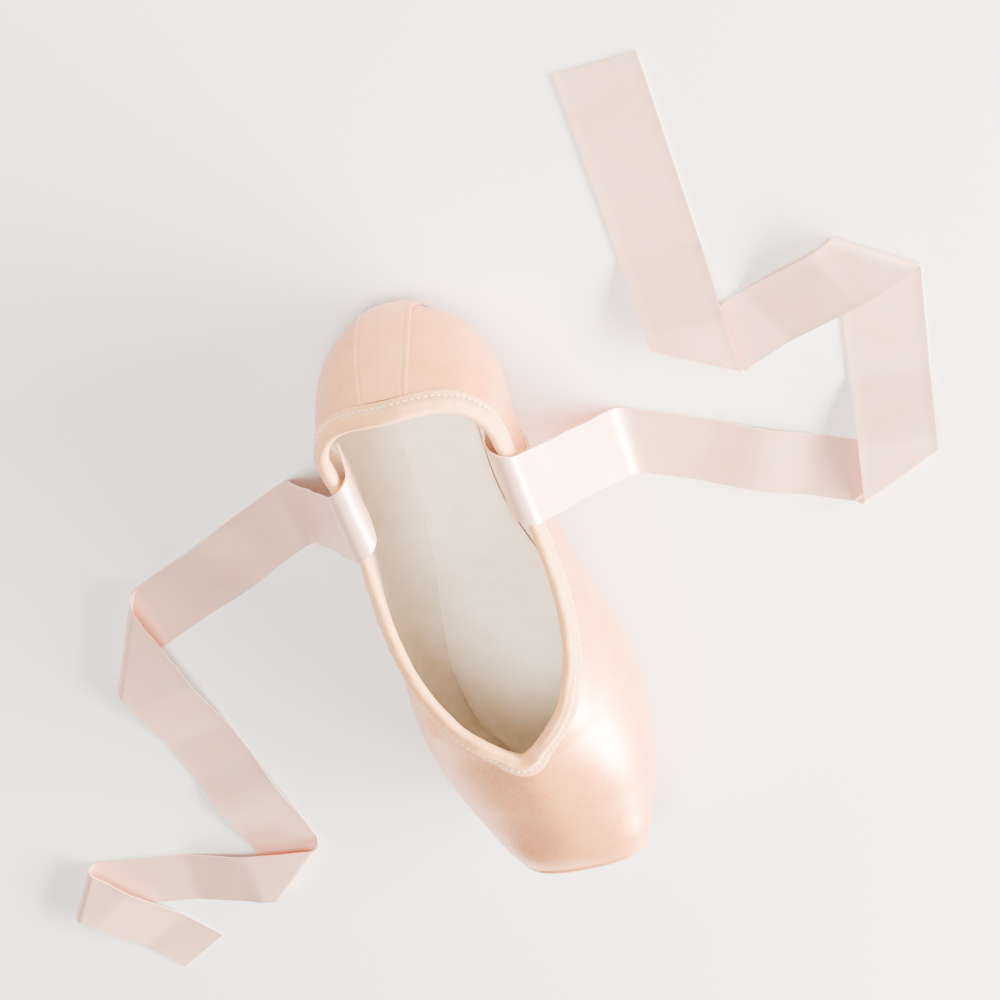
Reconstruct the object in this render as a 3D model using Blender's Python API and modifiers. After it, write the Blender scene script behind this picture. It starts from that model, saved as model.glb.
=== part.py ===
# Pointe shoe: a satin upper with a stiffened box, standing empty on its leather outsole.
# Metres, +Z up. The toe points to -Y and the origin is on the floor under the ball of the foot.
import math

import bmesh
import bpy
import numpy as np
from mathutils import Matrix, Vector
from mathutils.bvhtree import BVHTree

MM = 0.001

# Driving sizes
SHOE_LENGTH = 240 * MM
BALL_WIDTH = 78 * MM
INSTEP_HEIGHT = 60 * MM
HEEL_HEIGHT = 60 * MM
HEEL_DEPTH = 32 * MM  # from the heel's turning axis to the back of the shoe
PLATFORM_EDGE = 4 * MM  # round edge between the platform and the box
PLATFORM_CROWN = 0.8 * MM  # how far the platform's middle stands forward
TOE_SPRING = 3.5 * MM
ARCH_RISE = 5 * MM
SPRING_END = 0.19  # these places along the sole's line are shares of SHOE_LENGTH
ARCH_FRONT = (0.42, 0.64)
ARCH_BACK = (0.66, 0.80)
STIFFENING = (0.16, 0.31)  # the stiffened box thins out between these
WALL = 1.4 * MM
BOX_WALL = 2.8 * MM
CLEARANCE = 0.3 * MM  # between pieces that meet
BALL_ALONG = 82 * MM  # from the platform to the origin
WELD = 0.01 * MM  # points closer than this are one

# The last, section by section. Each value is a share of the named size beside its column.
LAST_COLUMNS = (
    "along",  # SHOE_LENGTH, and past the heel's axis the share of its turn
    "width",  # BALL_WIDTH
    "widest",  # INSTEP_HEIGHT, height of the widest point above the bottom
    "top",  # INSTEP_HEIGHT, height at which the sides would close
    "crown",  # exponent of the upper curve: under 2 is a ridge, over 2 is boxy
    "flat",  # half width, the part of the bottom that lies flat
)
LAST_ROWS = (
    (0.017, 0.63, 0.25, 0.51, 2.7, 0.45),
    (0.050, 0.71, 0.26, 0.57, 2.5, 0.47),
    (0.105, 0.81, 0.27, 0.65, 2.3, 0.50),
    (0.190, 0.93, 0.30, 0.76, 2.1, 0.52),
    (0.270, 0.99, 0.32, 0.85, 1.95, 0.52),
    (0.350, 0.99, 0.34, 0.93, 1.85, 0.52),
    (0.440, 0.93, 0.36, 1.01, 1.85, 0.50),
    (0.540, 0.84, 0.38, 1.10, 1.9, 0.48),
    (0.660, 0.76, 0.40, 1.20, 2.0, 0.46),
    (0.780, 0.735, 0.39, 1.28, 2.0, 0.46),
    (0.867, 0.75, 0.37, 1.33, 2.0, 0.48),
    (0.933, 0.78, 0.37, 1.31, 2.0, 0.50),
    (1.000, 0.82, 0.37, 1.27, 2.0, 0.50),
)
BASE_CURVE = 2.3  # exponent of the curve from the flat bottom to the widest point
ROWS = 14  # steps up a section of the upper, from its turned-in edge to the collar

# Collar, seen from the side: shares of SHOE_LENGTH and of HEEL_HEIGHT
THROAT_ALONG = 86 * MM
THROAT_STEPS = (0.013, 0.045, 0.10, 0.18, 0.27)  # sections behind the throat, shares of BALL_WIDTH
COLLAR_ROWS = (
    (0.440, 0.925),
    (0.530, 0.850),
    (0.640, 0.765),
    (0.740, 0.725),
    (0.830, 0.745),
    (0.915, 0.860),
    (1.000, 1.000),
)

# Outsole
SOLE_THICKNESS = 2.5 * MM
SOLE_EDGE = 1.3 * MM
SOLE_WIDTH = 59 * MM
SOLE_TOE = 24 * MM  # from the platform to the outsole's front
SOLE_HEEL = 11 * MM  # from the back of the shoe to the outsole's end
SOLE_ROUND = 36 * MM  # length over which the front rounds off
SOLE_ROWS = (  # shares of the outsole's length and of SOLE_WIDTH
    (0.00, 0.84),
    (0.12, 0.93),
    (0.28, 1.00),
    (0.40, 0.89),
    (0.52, 0.70),
    (0.64, 0.575),
    (0.76, 0.55),
    (0.86, 0.59),
    (0.93, 0.56),
    (0.975, 0.45),
    (1.00, 0.36),
)
SKIVE_FROM = 0.72  # share of the half width where the edge starts to thin
LASTED_MARGIN = 7 * MM  # how far the upper is turned in above the outsole
PLATE_PLACES = (0, 0.006, 0.025, 0.055, 0.1, 0.16, 0.23, 0.31, 0.39, 0.47)
PLATE_PLACES += (0.55, 0.63, 0.71, 0.79, 0.86, 0.92, 0.96, 0.985, 1)

# Insole
INSOLE_THICKNESS = 1.6 * MM
INSOLE_INSET = 3.6 * MM
INSOLE_CLEARANCE = 1.0 * MM

# Binding
BINDING_DEPTH = 6 * MM
BINDING_INSIDE = 4 * MM
BINDING_CLOTH = 0.7 * MM
BINDING_SWELL = 1.3  # the outer leg is fuller by this halfway down
CHANNEL_RADIUS = 2.1 * MM  # the drawstring's channel along the top
BINDING_CLEARANCE = 0.5 * MM

# Strips over the seams
STRIP_THICKNESS = 0.7 * MM
HEEL_STRIP_WIDTH = 18 * MM
SEAM_TAPE_WIDTH = 5.5 * MM
SEAM_FROM_BACK = 61 * MM

# Ribbons
RIBBON_WIDTH = 25 * MM
RIBBON_THICKNESS = 0.6 * MM
RIBBON_LENGTH = 450 * MM
RIBBON_FROM_BACK = 50 * MM  # where the ribbon's middle crosses the collar
RIBBON_INSIDE = 16 * MM
RIBBON_OVER = 4.4 * MM  # radius of the bend over the binding
RIBBON_SLANT = math.radians(28)  # lean towards the toe
RIBBON_FALL = math.radians(161)  # turn over the collar
LANDING_RADIUS = 9 * MM
FOLD_RADIUS = 2.4 * MM
SETTLE_TURN = math.radians(11)  # slope of the ribbon as it comes down from a fold
SETTLE_RADIUS = 18 * MM
WAVE_TURN = math.radians(7)
WAVE_RADIUS = 55 * MM
WAVE_RUN = 7 * MM
HINGE_STEP = math.radians(22)  # largest turn between two straight lines of a bend
# How each ribbon lies once it is on the floor, chosen by hand:
# kind of bend, mm of flat ribbon since the last one, degrees that its line is off square
RIGHT_LAY = (
    ("wave", 14, 6),
    ("fold", 12, -35),
    ("fold", 36, 30),
    ("fold", 12, 34),
)
LEFT_LAY = (
    ("wave", 6, -5),
    ("fold", 4, 53),
    ("wave", 12, 8),
    ("fold", 10, 36),
    ("fold", 32, 24),
)

# Colours, as linear values
SATIN = (0.85, 0.60, 0.45)
COTTON = (0.86, 0.66, 0.48)
LEATHER = (0.62, 0.37, 0.17)
SOCK = (0.80, 0.72, 0.62)
RIBBON_SATIN = (0.87, 0.63, 0.53)

HEEL_AXIS = SHOE_LENGTH - HEEL_DEPTH
SIDE_SEAM_ALONG = SHOE_LENGTH - SEAM_FROM_BACK
SOLE_LENGTH = SHOE_LENGTH - SOLE_TOE - SOLE_HEEL
GROUND = SOLE_THICKNESS + CLEARANCE


def smooth(table, at):
    """The value at `at` on a smooth curve through rows of (place, value)."""
    places, values = np.array(table, float).T
    slopes = np.gradient(values, places)
    at = min(max(at, places[0]), places[-1])
    i = min(int(np.searchsorted(places, at, "right")) - 1, len(places) - 2)
    step = places[i + 1] - places[i]
    t = (at - places[i]) / step
    return (
        values[i] * (2 * t**3 - 3 * t**2 + 1)
        + values[i + 1] * (3 * t**2 - 2 * t**3)
        + step * (slopes[i] * (t**3 - 2 * t**2 + t) + slopes[i + 1] * (t**3 - t**2))
    )


def ramp(t):
    """0 to 1 with level ends."""
    t = min(max(t, 0.0), 1.0)
    return t * t * (3 - 2 * t)


def between(value, limits):
    return ramp((value - limits[0]) / (limits[1] - limits[0]))


def last_value(column, along):
    k = LAST_COLUMNS.index(column)
    return smooth([(row[0], row[k]) for row in LAST_ROWS], along / SHOE_LENGTH)


def rise(along):
    """How far the sole's line stands off the floor: toe spring, then the arch."""
    share = along / SHOE_LENGTH
    spring = TOE_SPRING * (1 - ramp(share / SPRING_END))
    up = between(share, ARCH_FRONT)
    down = 1 - between(share, ARCH_BACK)
    return spring + ARCH_RISE * min(up, down)


def wall_at(along):
    return BOX_WALL + (WALL - BOX_WALL) * between(along / SHOE_LENGTH, STIFFENING)


# Sections of the last
def section_sizes(along):
    """Half width, height of the widest point, top, crown and flat half width at a section."""
    half = last_value("width", along) * BALL_WIDTH / 2
    widest = last_value("widest", along) * INSTEP_HEIGHT
    top = last_value("top", along) * INSTEP_HEIGHT
    return half, widest, top, last_value("crown", along), half * last_value("flat", along)


def section_curve(along, shrink=0.0, count=240):
    """(reach, height) from the bottom's middle, out to the widest point and up to the top.

    shrink draws the whole section in evenly, for the rings of the toe."""
    half, widest, top, crown, flat = section_sizes(along)
    share = max(0.0, 1 - shrink / half)
    half, flat = half * share, flat * share
    low, high = min(shrink, widest), max(top - shrink, widest)
    turn = np.linspace(0, math.pi / 2, count)
    base = 2 / BASE_CURVE
    reach = flat + (half - flat) * np.sin(turn) ** base
    height = widest - (widest - low) * np.cos(turn) ** base
    up = 2 / crown
    reach = np.concatenate([[0.0], reach, half * np.cos(turn[1:]) ** up])
    height = np.concatenate([[low], height, widest + (high - widest) * np.sin(turn[1:]) ** up])
    reach[-1] = 0.0
    return reach, height + GROUND + rise(along)


def placed(along, reach, height):
    """The point at that reach and height in a section's plane, which turns about the heel's axis behind it."""
    if along <= HEEL_AXIS:
        return Vector((reach, along - BALL_ALONG, height))
    turn = math.pi / 2 * (along - HEEL_AXIS) / HEEL_DEPTH
    back = HEEL_AXIS + reach * math.sin(turn) - BALL_ALONG
    return Vector((reach * math.cos(turn), back, height))


def bottom_height(x, y):
    """Height of the last's underside above the floor at a point of the plan."""
    along, reach = y + BALL_ALONG, abs(x)
    if along > HEEL_AXIS:
        reach = math.hypot(x, along - HEEL_AXIS)
        turn = math.atan2(along - HEEL_AXIS, abs(x))
        along = HEEL_AXIS + HEEL_DEPTH * turn / (math.pi / 2)
    half, widest, _, _, flat = section_sizes(along)
    out = min(max((reach - flat) / (half - flat), 0.0), 0.98)
    lift = widest * (1 - (1 - out**BASE_CURVE) ** (1 / BASE_CURVE))
    return GROUND + rise(along) + lift


# Plan of the sole
def sole_half_width(along):
    front = min(max((along - SOLE_TOE) / SOLE_ROUND, 0.0), 1.0)
    width = smooth(SOLE_ROWS, (along - SOLE_TOE) / SOLE_LENGTH) * SOLE_WIDTH
    return width / 2 * math.sqrt(1 - (1 - front) ** 2)


def sole_outline(inset, count=400):
    """(half width, along) of the outsole's right edge from toe to heel, moved in by inset."""
    back = SHOE_LENGTH - SOLE_HEEL - inset
    along = SOLE_TOE + SOLE_LENGTH * (1 - np.cos(np.linspace(0, math.pi / 2, count)))
    half = np.array([sole_half_width(a) for a in along])
    d_half, d_along = np.gradient(half), np.gradient(along)
    size = np.hypot(d_half, d_along)
    half, along = half - inset * d_along / size, along + inset * d_half / size
    keep = (half > 0) & (along < back)
    half, along = half[keep], along[keep]
    half = np.concatenate([[0.0], half, half[-1:]])
    return half, np.concatenate([along[:1], along, [back]])


def outline_reach(along, inset):
    """Reach of the sole's outline, moved in by inset, in a section's plane."""
    half, places = sole_outline(inset)
    if along <= HEEL_AXIS:
        return float(np.interp(along, places, half, left=0.0))
    behind = places >= HEEL_AXIS
    half, places = half[behind], places[behind]
    half, places = np.append(half, 0.0), np.append(places, places[-1])
    turns = np.arctan2(places - HEEL_AXIS, half)
    turn = math.pi / 2 * (along - HEEL_AXIS) / HEEL_DEPTH
    return float(np.interp(turn, turns, np.hypot(half, places - HEEL_AXIS)))


# Sections of the upper, from the platform's middle to the back seam
def stations():
    """(along, shrink) of each section, shrink being how far the ring is drawn in at the toe."""
    deep = last_value("top", PLATFORM_EDGE) * INSTEP_HEIGHT / 2
    sections = [(0.0, deep), (0.0, (deep + PLATFORM_EDGE) / 2)]
    for degrees in (0, 35, 65, 90):
        a = math.radians(degrees)
        sections.append((PLATFORM_EDGE * (1 - math.cos(a)), PLATFORM_EDGE * (1 - math.sin(a))))
    feather = SOLE_TOE + LASTED_MARGIN
    throat = [THROAT_ALONG + step * BALL_WIDTH for step in THROAT_STEPS]
    seam = SIDE_SEAM_ALONG - SEAM_TAPE_WIDTH / 2
    strip = SHOE_LENGTH - HEEL_DEPTH * math.asin(HEEL_STRIP_WIDTH / 2 / HEEL_DEPTH) / (math.pi / 2)
    places = [
        *np.linspace(PLATFORM_EDGE, SOLE_TOE, 5)[1:],
        SOLE_TOE + LASTED_MARGIN / 2,
        feather,
        feather + LASTED_MARGIN / 5,
        feather + LASTED_MARGIN * 3 / 4,
        *np.linspace(feather + LASTED_MARGIN * 7 / 4, THROAT_ALONG, 6),
        *throat,
        *np.linspace(throat[-1], seam, 11)[1:],
        *np.linspace(seam + SEAM_TAPE_WIDTH, HEEL_AXIS, 4),
        *np.linspace(HEEL_AXIS, strip, 6)[1:],
        *np.linspace(strip, SHOE_LENGTH, 3)[1:],
    ]
    return sections + [(float(place), 0.0) for place in places]


def collar_height(along):
    """Height of the collar's edge. It starts at the throat, on the last's own top line."""
    _, _, top, _, _ = section_sizes(THROAT_ALONG)
    throat = top + GROUND + rise(THROAT_ALONG)
    rows = [(THROAT_ALONG / SHOE_LENGTH, throat)]
    rows += [(place, share * HEEL_HEIGHT) for place, share in COLLAR_ROWS]
    return smooth(rows, along / SHOE_LENGTH)


def upper_row(along, shrink):
    """Points of one section's right half, from the feather line or the bottom's middle up to the edge."""
    reach, height = section_curve(max(along, PLATFORM_EDGE), shrink)
    run = np.concatenate([[0.0], np.cumsum(np.hypot(np.diff(reach), np.diff(height)))])
    lower = np.arange(len(run)) <= np.argmax(reach)
    start = edge = 0.0
    if along > SOLE_TOE:
        edge = float(np.interp(outline_reach(along, 0.0) + CLEARANCE, reach[lower], run[lower]))
        start = float(np.interp(outline_reach(along, LASTED_MARGIN), reach[lower], run[lower]))
    end = run[-1]
    if along > THROAT_ALONG:
        end = float(np.interp(collar_height(along), height[~lower], run[~lower]))
    span = end - start
    edge = max(edge, start + span / (3 * ROWS))
    band = min(BINDING_DEPTH + 2 * CLEARANCE, span * 2 / ROWS)
    if along > THROAT_ALONG:
        slope = (collar_height(along + MM) - collar_height(along - MM)) / (2 * MM)
        band *= math.sqrt(1 + slope**2)
    marks = np.concatenate([[start], np.linspace(edge, end - band, ROWS - 1), [end]])
    points = []
    for mark in marks:
        r, z = float(np.interp(mark, run, reach)), float(np.interp(mark, run, height))
        points.append(placed(max(along, 0.0), r, z))
    if shrink > PLATFORM_EDGE:
        share = shrink / section_sizes(PLATFORM_EDGE)[2] * 2
        for p in points:
            p.y -= PLATFORM_CROWN * share
    return points


def upper_grid():
    """Points of the right half, station by station."""
    grid = [upper_row(along, shrink) for along, shrink in stations()]
    middle = sum(grid[0], Vector()) / len(grid[0])
    middle.x = 0.0
    grid[0] = [middle.copy() for _ in grid[0]]
    for p in grid[-1]:
        p.x = 0.0
    return grid


def grid_normals(grid):
    """Outward unit normals at each point of a grid."""
    normals = []
    for i, row in enumerate(grid):
        before, after = grid[max(i - 1, 0)], grid[min(i + 1, len(grid) - 1)]
        line = []
        for j in range(len(row)):
            up = row[min(j + 1, len(row) - 1)] - row[max(j - 1, 0)]
            back = after[j] - before[j]
            normal = back.cross(up)
            if row[j].x == 0.0:
                normal.x = 0.0
            line.append(normal.normalized())
        normals.append(line)
    return normals


# Meshes
def material(name, colour, roughness, metallic=0.0):
    made = bpy.data.materials.new(name)
    made.use_nodes = True
    shader = made.node_tree.nodes["Principled BSDF"]
    shader.inputs["Base Color"].default_value = (*colour, 1.0)
    shader.inputs["Roughness"].default_value = roughness
    shader.inputs["Metallic"].default_value = metallic
    made.diffuse_color = (*colour, 1.0)
    return made


def mesh_object(name, vertices, faces, finish, closed=True):
    mesh = bpy.data.meshes.new(name)
    mesh.from_pydata([tuple(v) for v in vertices], [], faces)
    work = bmesh.new()
    work.from_mesh(mesh)
    bmesh.ops.remove_doubles(work, verts=work.verts, dist=WELD)
    bmesh.ops.dissolve_degenerate(work, edges=work.edges, dist=WELD)
    if closed:
        bmesh.ops.recalc_face_normals(work, faces=work.faces)
    work.to_mesh(mesh)
    work.free()
    mesh.materials.append(finish)
    made = bpy.data.objects.new(name, mesh)
    SHOE.objects.link(made)
    mesh.shade_smooth()
    mesh.set_sharp_from_angle(angle=math.radians(40))
    return made


def grid_faces(columns, rows):
    """Quads between the points of a grid stored column by column."""
    faces = []
    for i in range(columns - 1):
        for j in range(rows - 1):
            a = i * rows + j
            faces.append((a, a + rows, a + rows + 1, a + 1))
    return faces


def mirror(made):
    made.modifiers.new("Mirror", "MIRROR").merge_threshold = 2 * WELD


def loft(name, rings, finish, caps=(False, False)):
    """A skin over closed rings, with a face over an end where caps says so."""
    count = len(rings[0])
    vertices = [p for ring in rings for p in ring]
    faces = []
    for i in range(len(rings) - 1):
        for j in range(count):
            k = (j + 1) % count
            faces.append((i * count + j, i * count + k, (i + 1) * count + k, (i + 1) * count + j))
    if caps[0]:
        faces.append(tuple(range(count)))
    if caps[1]:
        faces.append(tuple(range((len(rings) - 1) * count, len(rings) * count)))
    return mesh_object(name, vertices, faces, finish)


# Upper
def make_upper(grid, finish):
    rows = ROWS + 1
    vertices = [p for row in grid for p in row]
    made = mesh_object("upper", vertices, grid_faces(len(grid), rows), finish, closed=False)
    stiff = made.vertex_groups.new(name="stiffened")
    for v in made.data.vertices:
        weight = (wall_at(v.co.y + BALL_ALONG) - WALL) / (BOX_WALL - WALL)
        stiff.add([v.index], weight, "REPLACE")
    mirror(made)
    wall = made.modifiers.new("Wall", "SOLIDIFY")
    wall.thickness = BOX_WALL
    wall.offset = -1
    wall.vertex_group = "stiffened"
    wall.thickness_vertex_group = WALL / BOX_WALL
    wall.use_even_offset = True
    wall.use_quality_normals = True
    return made


# Plates that follow the sole's plan
def plate(name, inset, under, over, across, finish):
    """A plate inside the sole's outline, between two heights worked out from x, y and the share across."""
    half, places = sole_outline(inset)
    rings = []
    for share in PLATE_PLACES:
        along = SOLE_TOE + inset + share * (SOLE_LENGTH - 2 * inset)
        reach = float(np.interp(along, places, half))
        y = along - BALL_ALONG
        low = [Vector((reach * c, y, under(reach * c, y, c))) for c in across]
        high = [Vector((reach * c, y, over(reach * c, y, c))) for c in reversed(across)]
        rings.append(low + high)
    count = len(rings[0])
    vertices = [p for ring in rings for p in ring]
    faces = []
    for i in range(len(rings) - 1):
        for j in range(count - 1):
            a = i * count + j
            faces.append((a, a + 1, a + count + 1, a + count))
    last = (len(rings) - 1) * count
    half_count = len(across)
    for j in range(half_count - 1):
        faces.append((last + j, last + j + 1, last + count - 2 - j, last + count - 1 - j))
    made = mesh_object(name, vertices, faces, finish)
    mirror(made)
    return made


def make_outsole(finish):
    def over(x, y, c):
        return bottom_height(x, y) - CLEARANCE

    def under(x, y, c):
        return over(x, y, c) - SOLE_THICKNESS + (SOLE_THICKNESS - SOLE_EDGE) * between(c, (SKIVE_FROM, 1))

    return plate("outsole", 0.0, under, over, (0, 0.25, 0.5, 0.7, 0.85, 1.0), finish)


def seat(x, y):
    """Height of the insole's underside: the upper's inner face and a clearance."""
    along_x = (bottom_height(x + MM, y) - bottom_height(x - MM, y)) / (2 * MM)
    along_y = (bottom_height(x, y + MM) - bottom_height(x, y - MM)) / (2 * MM)
    steep = math.sqrt(1 + along_x**2 + along_y**2)
    return bottom_height(x, y) + (wall_at(y + BALL_ALONG) + INSOLE_CLEARANCE) * steep


def make_insole(finish):
    """Board and sock: a plug in the opening that the lasted margin leaves, and a flange on the margin."""

    def plug_under(x, y, c):
        return bottom_height(x, y)

    def plug_over(x, y, c):
        return seat(x, y) + INSOLE_THICKNESS / 2

    def flange_under(x, y, c):
        return seat(x, y)

    def flange_over(x, y, c):
        return seat(x, y) + INSOLE_THICKNESS

    inset = LASTED_MARGIN + 2 * INSOLE_CLEARANCE
    plug = plate("insole_plug", inset, plug_under, plug_over, (0, 0.5, 0.8, 1.0), finish)
    made = plate("insole", INSOLE_INSET, flange_under, flange_over, (0, 0.4, 0.7, 1.0), finish)
    plug.hide_render = True
    plug.display_type = "WIRE"
    SHOE.objects.unlink(plug)
    HELPERS.objects.link(plug)
    join = made.modifiers.new("Plug", "BOOLEAN")
    join.operation = "UNION"
    join.object = plug
    return made


# Binding
def collar_frames(grid):
    """(edge point, tangent, outward normal, way down the wall) along the right half of the collar."""
    first = [i for i, (along, _) in enumerate(stations()) if along > THROAT_ALONG - WELD][0]
    normals = grid_normals(grid)
    edge = [row[-1] for row in grid[first:]]
    frames = []
    for i, point in enumerate(edge):
        before = edge[i - 1] if i else Vector((-edge[1].x, edge[1].y, edge[1].z))
        if i + 1 < len(edge):
            after = edge[i + 1]
        else:
            after = Vector((-edge[-2].x, edge[-2].y, edge[-2].z))
        tangent = (after - before).normalized()
        normal = normals[first + i][-1]
        if i == 0:
            top = grid[first][-1] - grid[first - 1][-1]
            normal = Vector((0, -top.z, top.y)).normalized()
        normal = (normal - tangent * normal.dot(tangent)).normalized()
        down = tangent.cross(normal).normalized()
        frames.append((point, tangent, normal, down))
    return frames


def binding_profile():
    """(way down from the edge, way out from the wall's outer face) round the folded tape."""
    middle, lap = -WALL / 2, BINDING_CLEARANCE
    outer = [(BINDING_DEPTH, lap + BINDING_CLOTH), (BINDING_DEPTH / 2, lap + BINDING_SWELL * BINDING_CLOTH)]
    bead = []
    for degrees in (0, 45, 90, 135, 180):
        a = math.radians(degrees)
        bead.append((-CHANNEL_RADIUS * math.sin(a), middle + CHANNEL_RADIUS * math.cos(a)))
    inner = [(BINDING_INSIDE, -WALL - lap - BINDING_CLOTH), (BINDING_INSIDE, -WALL - lap)]
    slot = [(-lap, -WALL - lap), (-lap, lap), (BINDING_DEPTH / 2, lap), (BINDING_DEPTH, lap)]
    return outer + bead + inner + slot


def make_binding(grid, finish):
    points = [p for row in grid for p in row]
    face = BVHTree.FromPolygons(points, grid_faces(len(grid), len(grid[0])))
    rings = []
    for point, _, normal, down in collar_frames(grid):
        ring = []
        for below, out in binding_profile():
            spot = point + down * below
            if below > 0:
                spot += normal * (face.find_nearest(spot)[0] - spot).dot(normal)
            ring.append(spot + normal * out)
        rings.append(ring)
    for p in rings[0] + rings[-1]:
        p.x = 0.0
    made = loft("binding", rings, finish)
    mirror(made)
    return made


# Strips over the seams
def flipped(points):
    return [Vector((-p.x, p.y, p.z)) for p in points]


def strip_rings(grid, columns):
    """Sections of a strip on the upper's outer face, from the outsole's edge up to the binding."""
    normals = grid_normals(grid)
    rings = []
    for j in range(1, ROWS):
        low = [grid[i][j] + normals[i][j] * CLEARANCE for i in columns]
        thick = CLEARANCE + STRIP_THICKNESS
        rings.append(low + [grid[i][j] + normals[i][j] * thick for i in reversed(columns)])
    return rings


def make_heel_strip(grid, finish):
    columns = range(len(grid) - 3, len(grid))
    rings = []
    for ring in strip_rings(grid, columns):
        low, high = ring[: len(columns)], ring[len(columns):]
        rings.append(low + flipped(reversed(low[:-1])) + flipped(reversed(high[1:])) + high)
    return loft("heel_strip", rings, finish, caps=(True, True))


def make_seam_tape(name, grid, side, finish):
    reach = SEAM_TAPE_WIDTH / 2 + WELD
    columns = [i for i, (along, _) in enumerate(stations()) if abs(along - SIDE_SEAM_ALONG) < reach]
    rings = strip_rings(grid, columns)
    if side == "left":
        rings = [flipped(ring) for ring in rings]
    return loft(name, rings, finish, caps=(True, True))


# Ribbons
def bend_length(skew, turn, radius):
    """Flat length that a bend takes up along the ribbon's middle."""
    return radius * abs(turn) / math.cos(skew)


def hinges_of(bends):
    """Each bend as single turns about straight lines: (flat distance, skew, turn)."""
    hinges = []
    for at, skew, turn, radius in bends:
        count = max(2, math.ceil(abs(turn) / HINGE_STEP))
        length = bend_length(skew, turn, radius)
        for k in range(count):
            hinges.append((at + length * (k + 0.5) / count, skew, turn / count))
    return hinges


def folded_strip(frame, bends):
    """Pairs of edge points of a flat strip folded at each bend, and the frame at its end.

    frame carries flat points to the strip's start; flat x runs along it and y across it."""
    place = frame.copy()
    pairs = []

    def pair(at, skew):
        lean = math.tan(skew) * RIBBON_WIDTH / 2
        left = place @ Vector((at + lean, RIBBON_WIDTH / 2, 0))
        right = place @ Vector((at - lean, -RIBBON_WIDTH / 2, 0))
        pairs.append((left, right))

    pair(0.0, 0.0)
    for at, skew, turn in hinges_of(bends):
        if at > RIBBON_LENGTH - RIBBON_WIDTH / 2:
            break
        pair(at, skew)
        centre = place @ Vector((at, 0, 0))
        axis = place.to_3x3() @ Vector((math.sin(skew), math.cos(skew), 0))
        turned = Matrix.Rotation(-turn, 4, axis.normalized())
        place = Matrix.Translation(centre) @ turned @ Matrix.Translation(-centre) @ place
    pair(RIBBON_LENGTH, 0.0)
    return pairs, place


def line_skew(place, line):
    """Skew at which a bend's line runs along a given direction in the strip's plane."""
    turn = place.to_3x3()
    along, across = line.dot(turn @ Vector((1, 0, 0))), line.dot(turn @ Vector((0, 1, 0)))
    return math.atan2(along, across) if across > 0 else math.atan2(-along, -across)


def over_the_collar(grid):
    """The strip's first frame, inside the right quarter, and its bend over the binding."""
    place = SHOE_LENGTH - RIBBON_FROM_BACK - BALL_ALONG
    frames = collar_frames(grid)
    point, tangent, normal, down = min(frames, key=lambda frame: abs(frame[0].y - place))
    heading = (-down * math.cos(RIBBON_SLANT) - tangent * math.sin(RIBBON_SLANT)).normalized()
    across = normal.cross(heading)
    start = point - normal * (WALL / 2 + RIBBON_OVER) - heading * RIBBON_INSIDE
    frame = Matrix.Identity(4)
    for k, axis in enumerate((heading, across, heading.cross(across), start)):
        frame.col[k][:3] = axis
    turn = RIBBON_FALL if heading.cross(across).dot(normal) > 0 else -RIBBON_FALL
    return frame, (RIBBON_INSIDE, line_skew(frame, tangent), turn, RIBBON_OVER)


def landing(frame, over):
    """The bend that lays the hanging strip on the floor, and which of its faces is then up."""
    at = over[0] + bend_length(*over[1:])
    _, place = folded_strip(frame, [over])
    facing = place.to_3x3() @ Vector((0, 0, 1))
    up = Vector((0, 0, math.copysign(1, facing.z)))
    skew = line_skew(place, facing.cross(up))
    size = facing.angle(up)

    def laid(turn):
        return folded_strip(frame, [over, (at, skew, turn, LANDING_RADIUS)])[1]

    def level(turn):
        return abs((laid(turn).to_3x3() @ Vector((0, 0, 1))).z)

    turn = max((size, -size), key=level)
    end = at + bend_length(skew, turn, LANDING_RADIUS)
    height = (laid(turn) @ Vector((end, 0, 0))).z - RIBBON_THICKNESS / 2
    fall = -(place.to_3x3() @ Vector((1, 0, 0))).z
    return (at + height / fall, skew, turn, LANDING_RADIUS), up.z


def bend_end(bend):
    return bend[0] + bend_length(*bend[1:])


def wave(at, skew, side):
    """A low wave that leaves the strip on the floor again."""
    bends = []
    for turn in (WAVE_TURN, -2 * WAVE_TURN, WAVE_TURN):
        bends.append((at, skew, side * turn, WAVE_RADIUS))
        at = bend_end(bends[-1]) + WAVE_RUN
    return bends


def fold(frame, bends, at, skew, side):
    """The strip turned over on itself, then let down to the floor."""
    over = (at, skew, side * math.pi, FOLD_RADIUS)
    start = bend_end(over)
    _, place = folded_strip(frame, bends + [over])
    height = (place @ Vector((start, 0, 0))).z - RIBBON_THICKNESS / 2
    rounding = 2 * SETTLE_RADIUS * (1 - math.cos(SETTLE_TURN))
    clear = RIBBON_WIDTH / 2 * abs(math.tan(skew)) + RIBBON_WIDTH / 8
    down = (start + clear, 0.0, side * SETTLE_TURN, SETTLE_RADIUS)
    run = (height - rounding) / math.sin(SETTLE_TURN)
    return [over, down, (bend_end(down) + run, 0.0, -side * SETTLE_TURN, SETTLE_RADIUS)]


def ribbon_pairs(grid, lay):
    frame, over = over_the_collar(grid)
    land, side = landing(frame, over)
    bends = [over, land]
    for kind, after, skew in lay:
        cross = abs(math.tan(bends[-1][1]) - math.tan(math.radians(skew))) * RIBBON_WIDTH / 2
        at = bend_end(bends[-1]) + cross + after * MM
        if kind == "wave":
            bends += wave(at, math.radians(skew), side)
        else:
            bends += fold(frame, bends, at, math.radians(skew), side)
            side = -side
    return folded_strip(frame, bends)[0]


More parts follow.
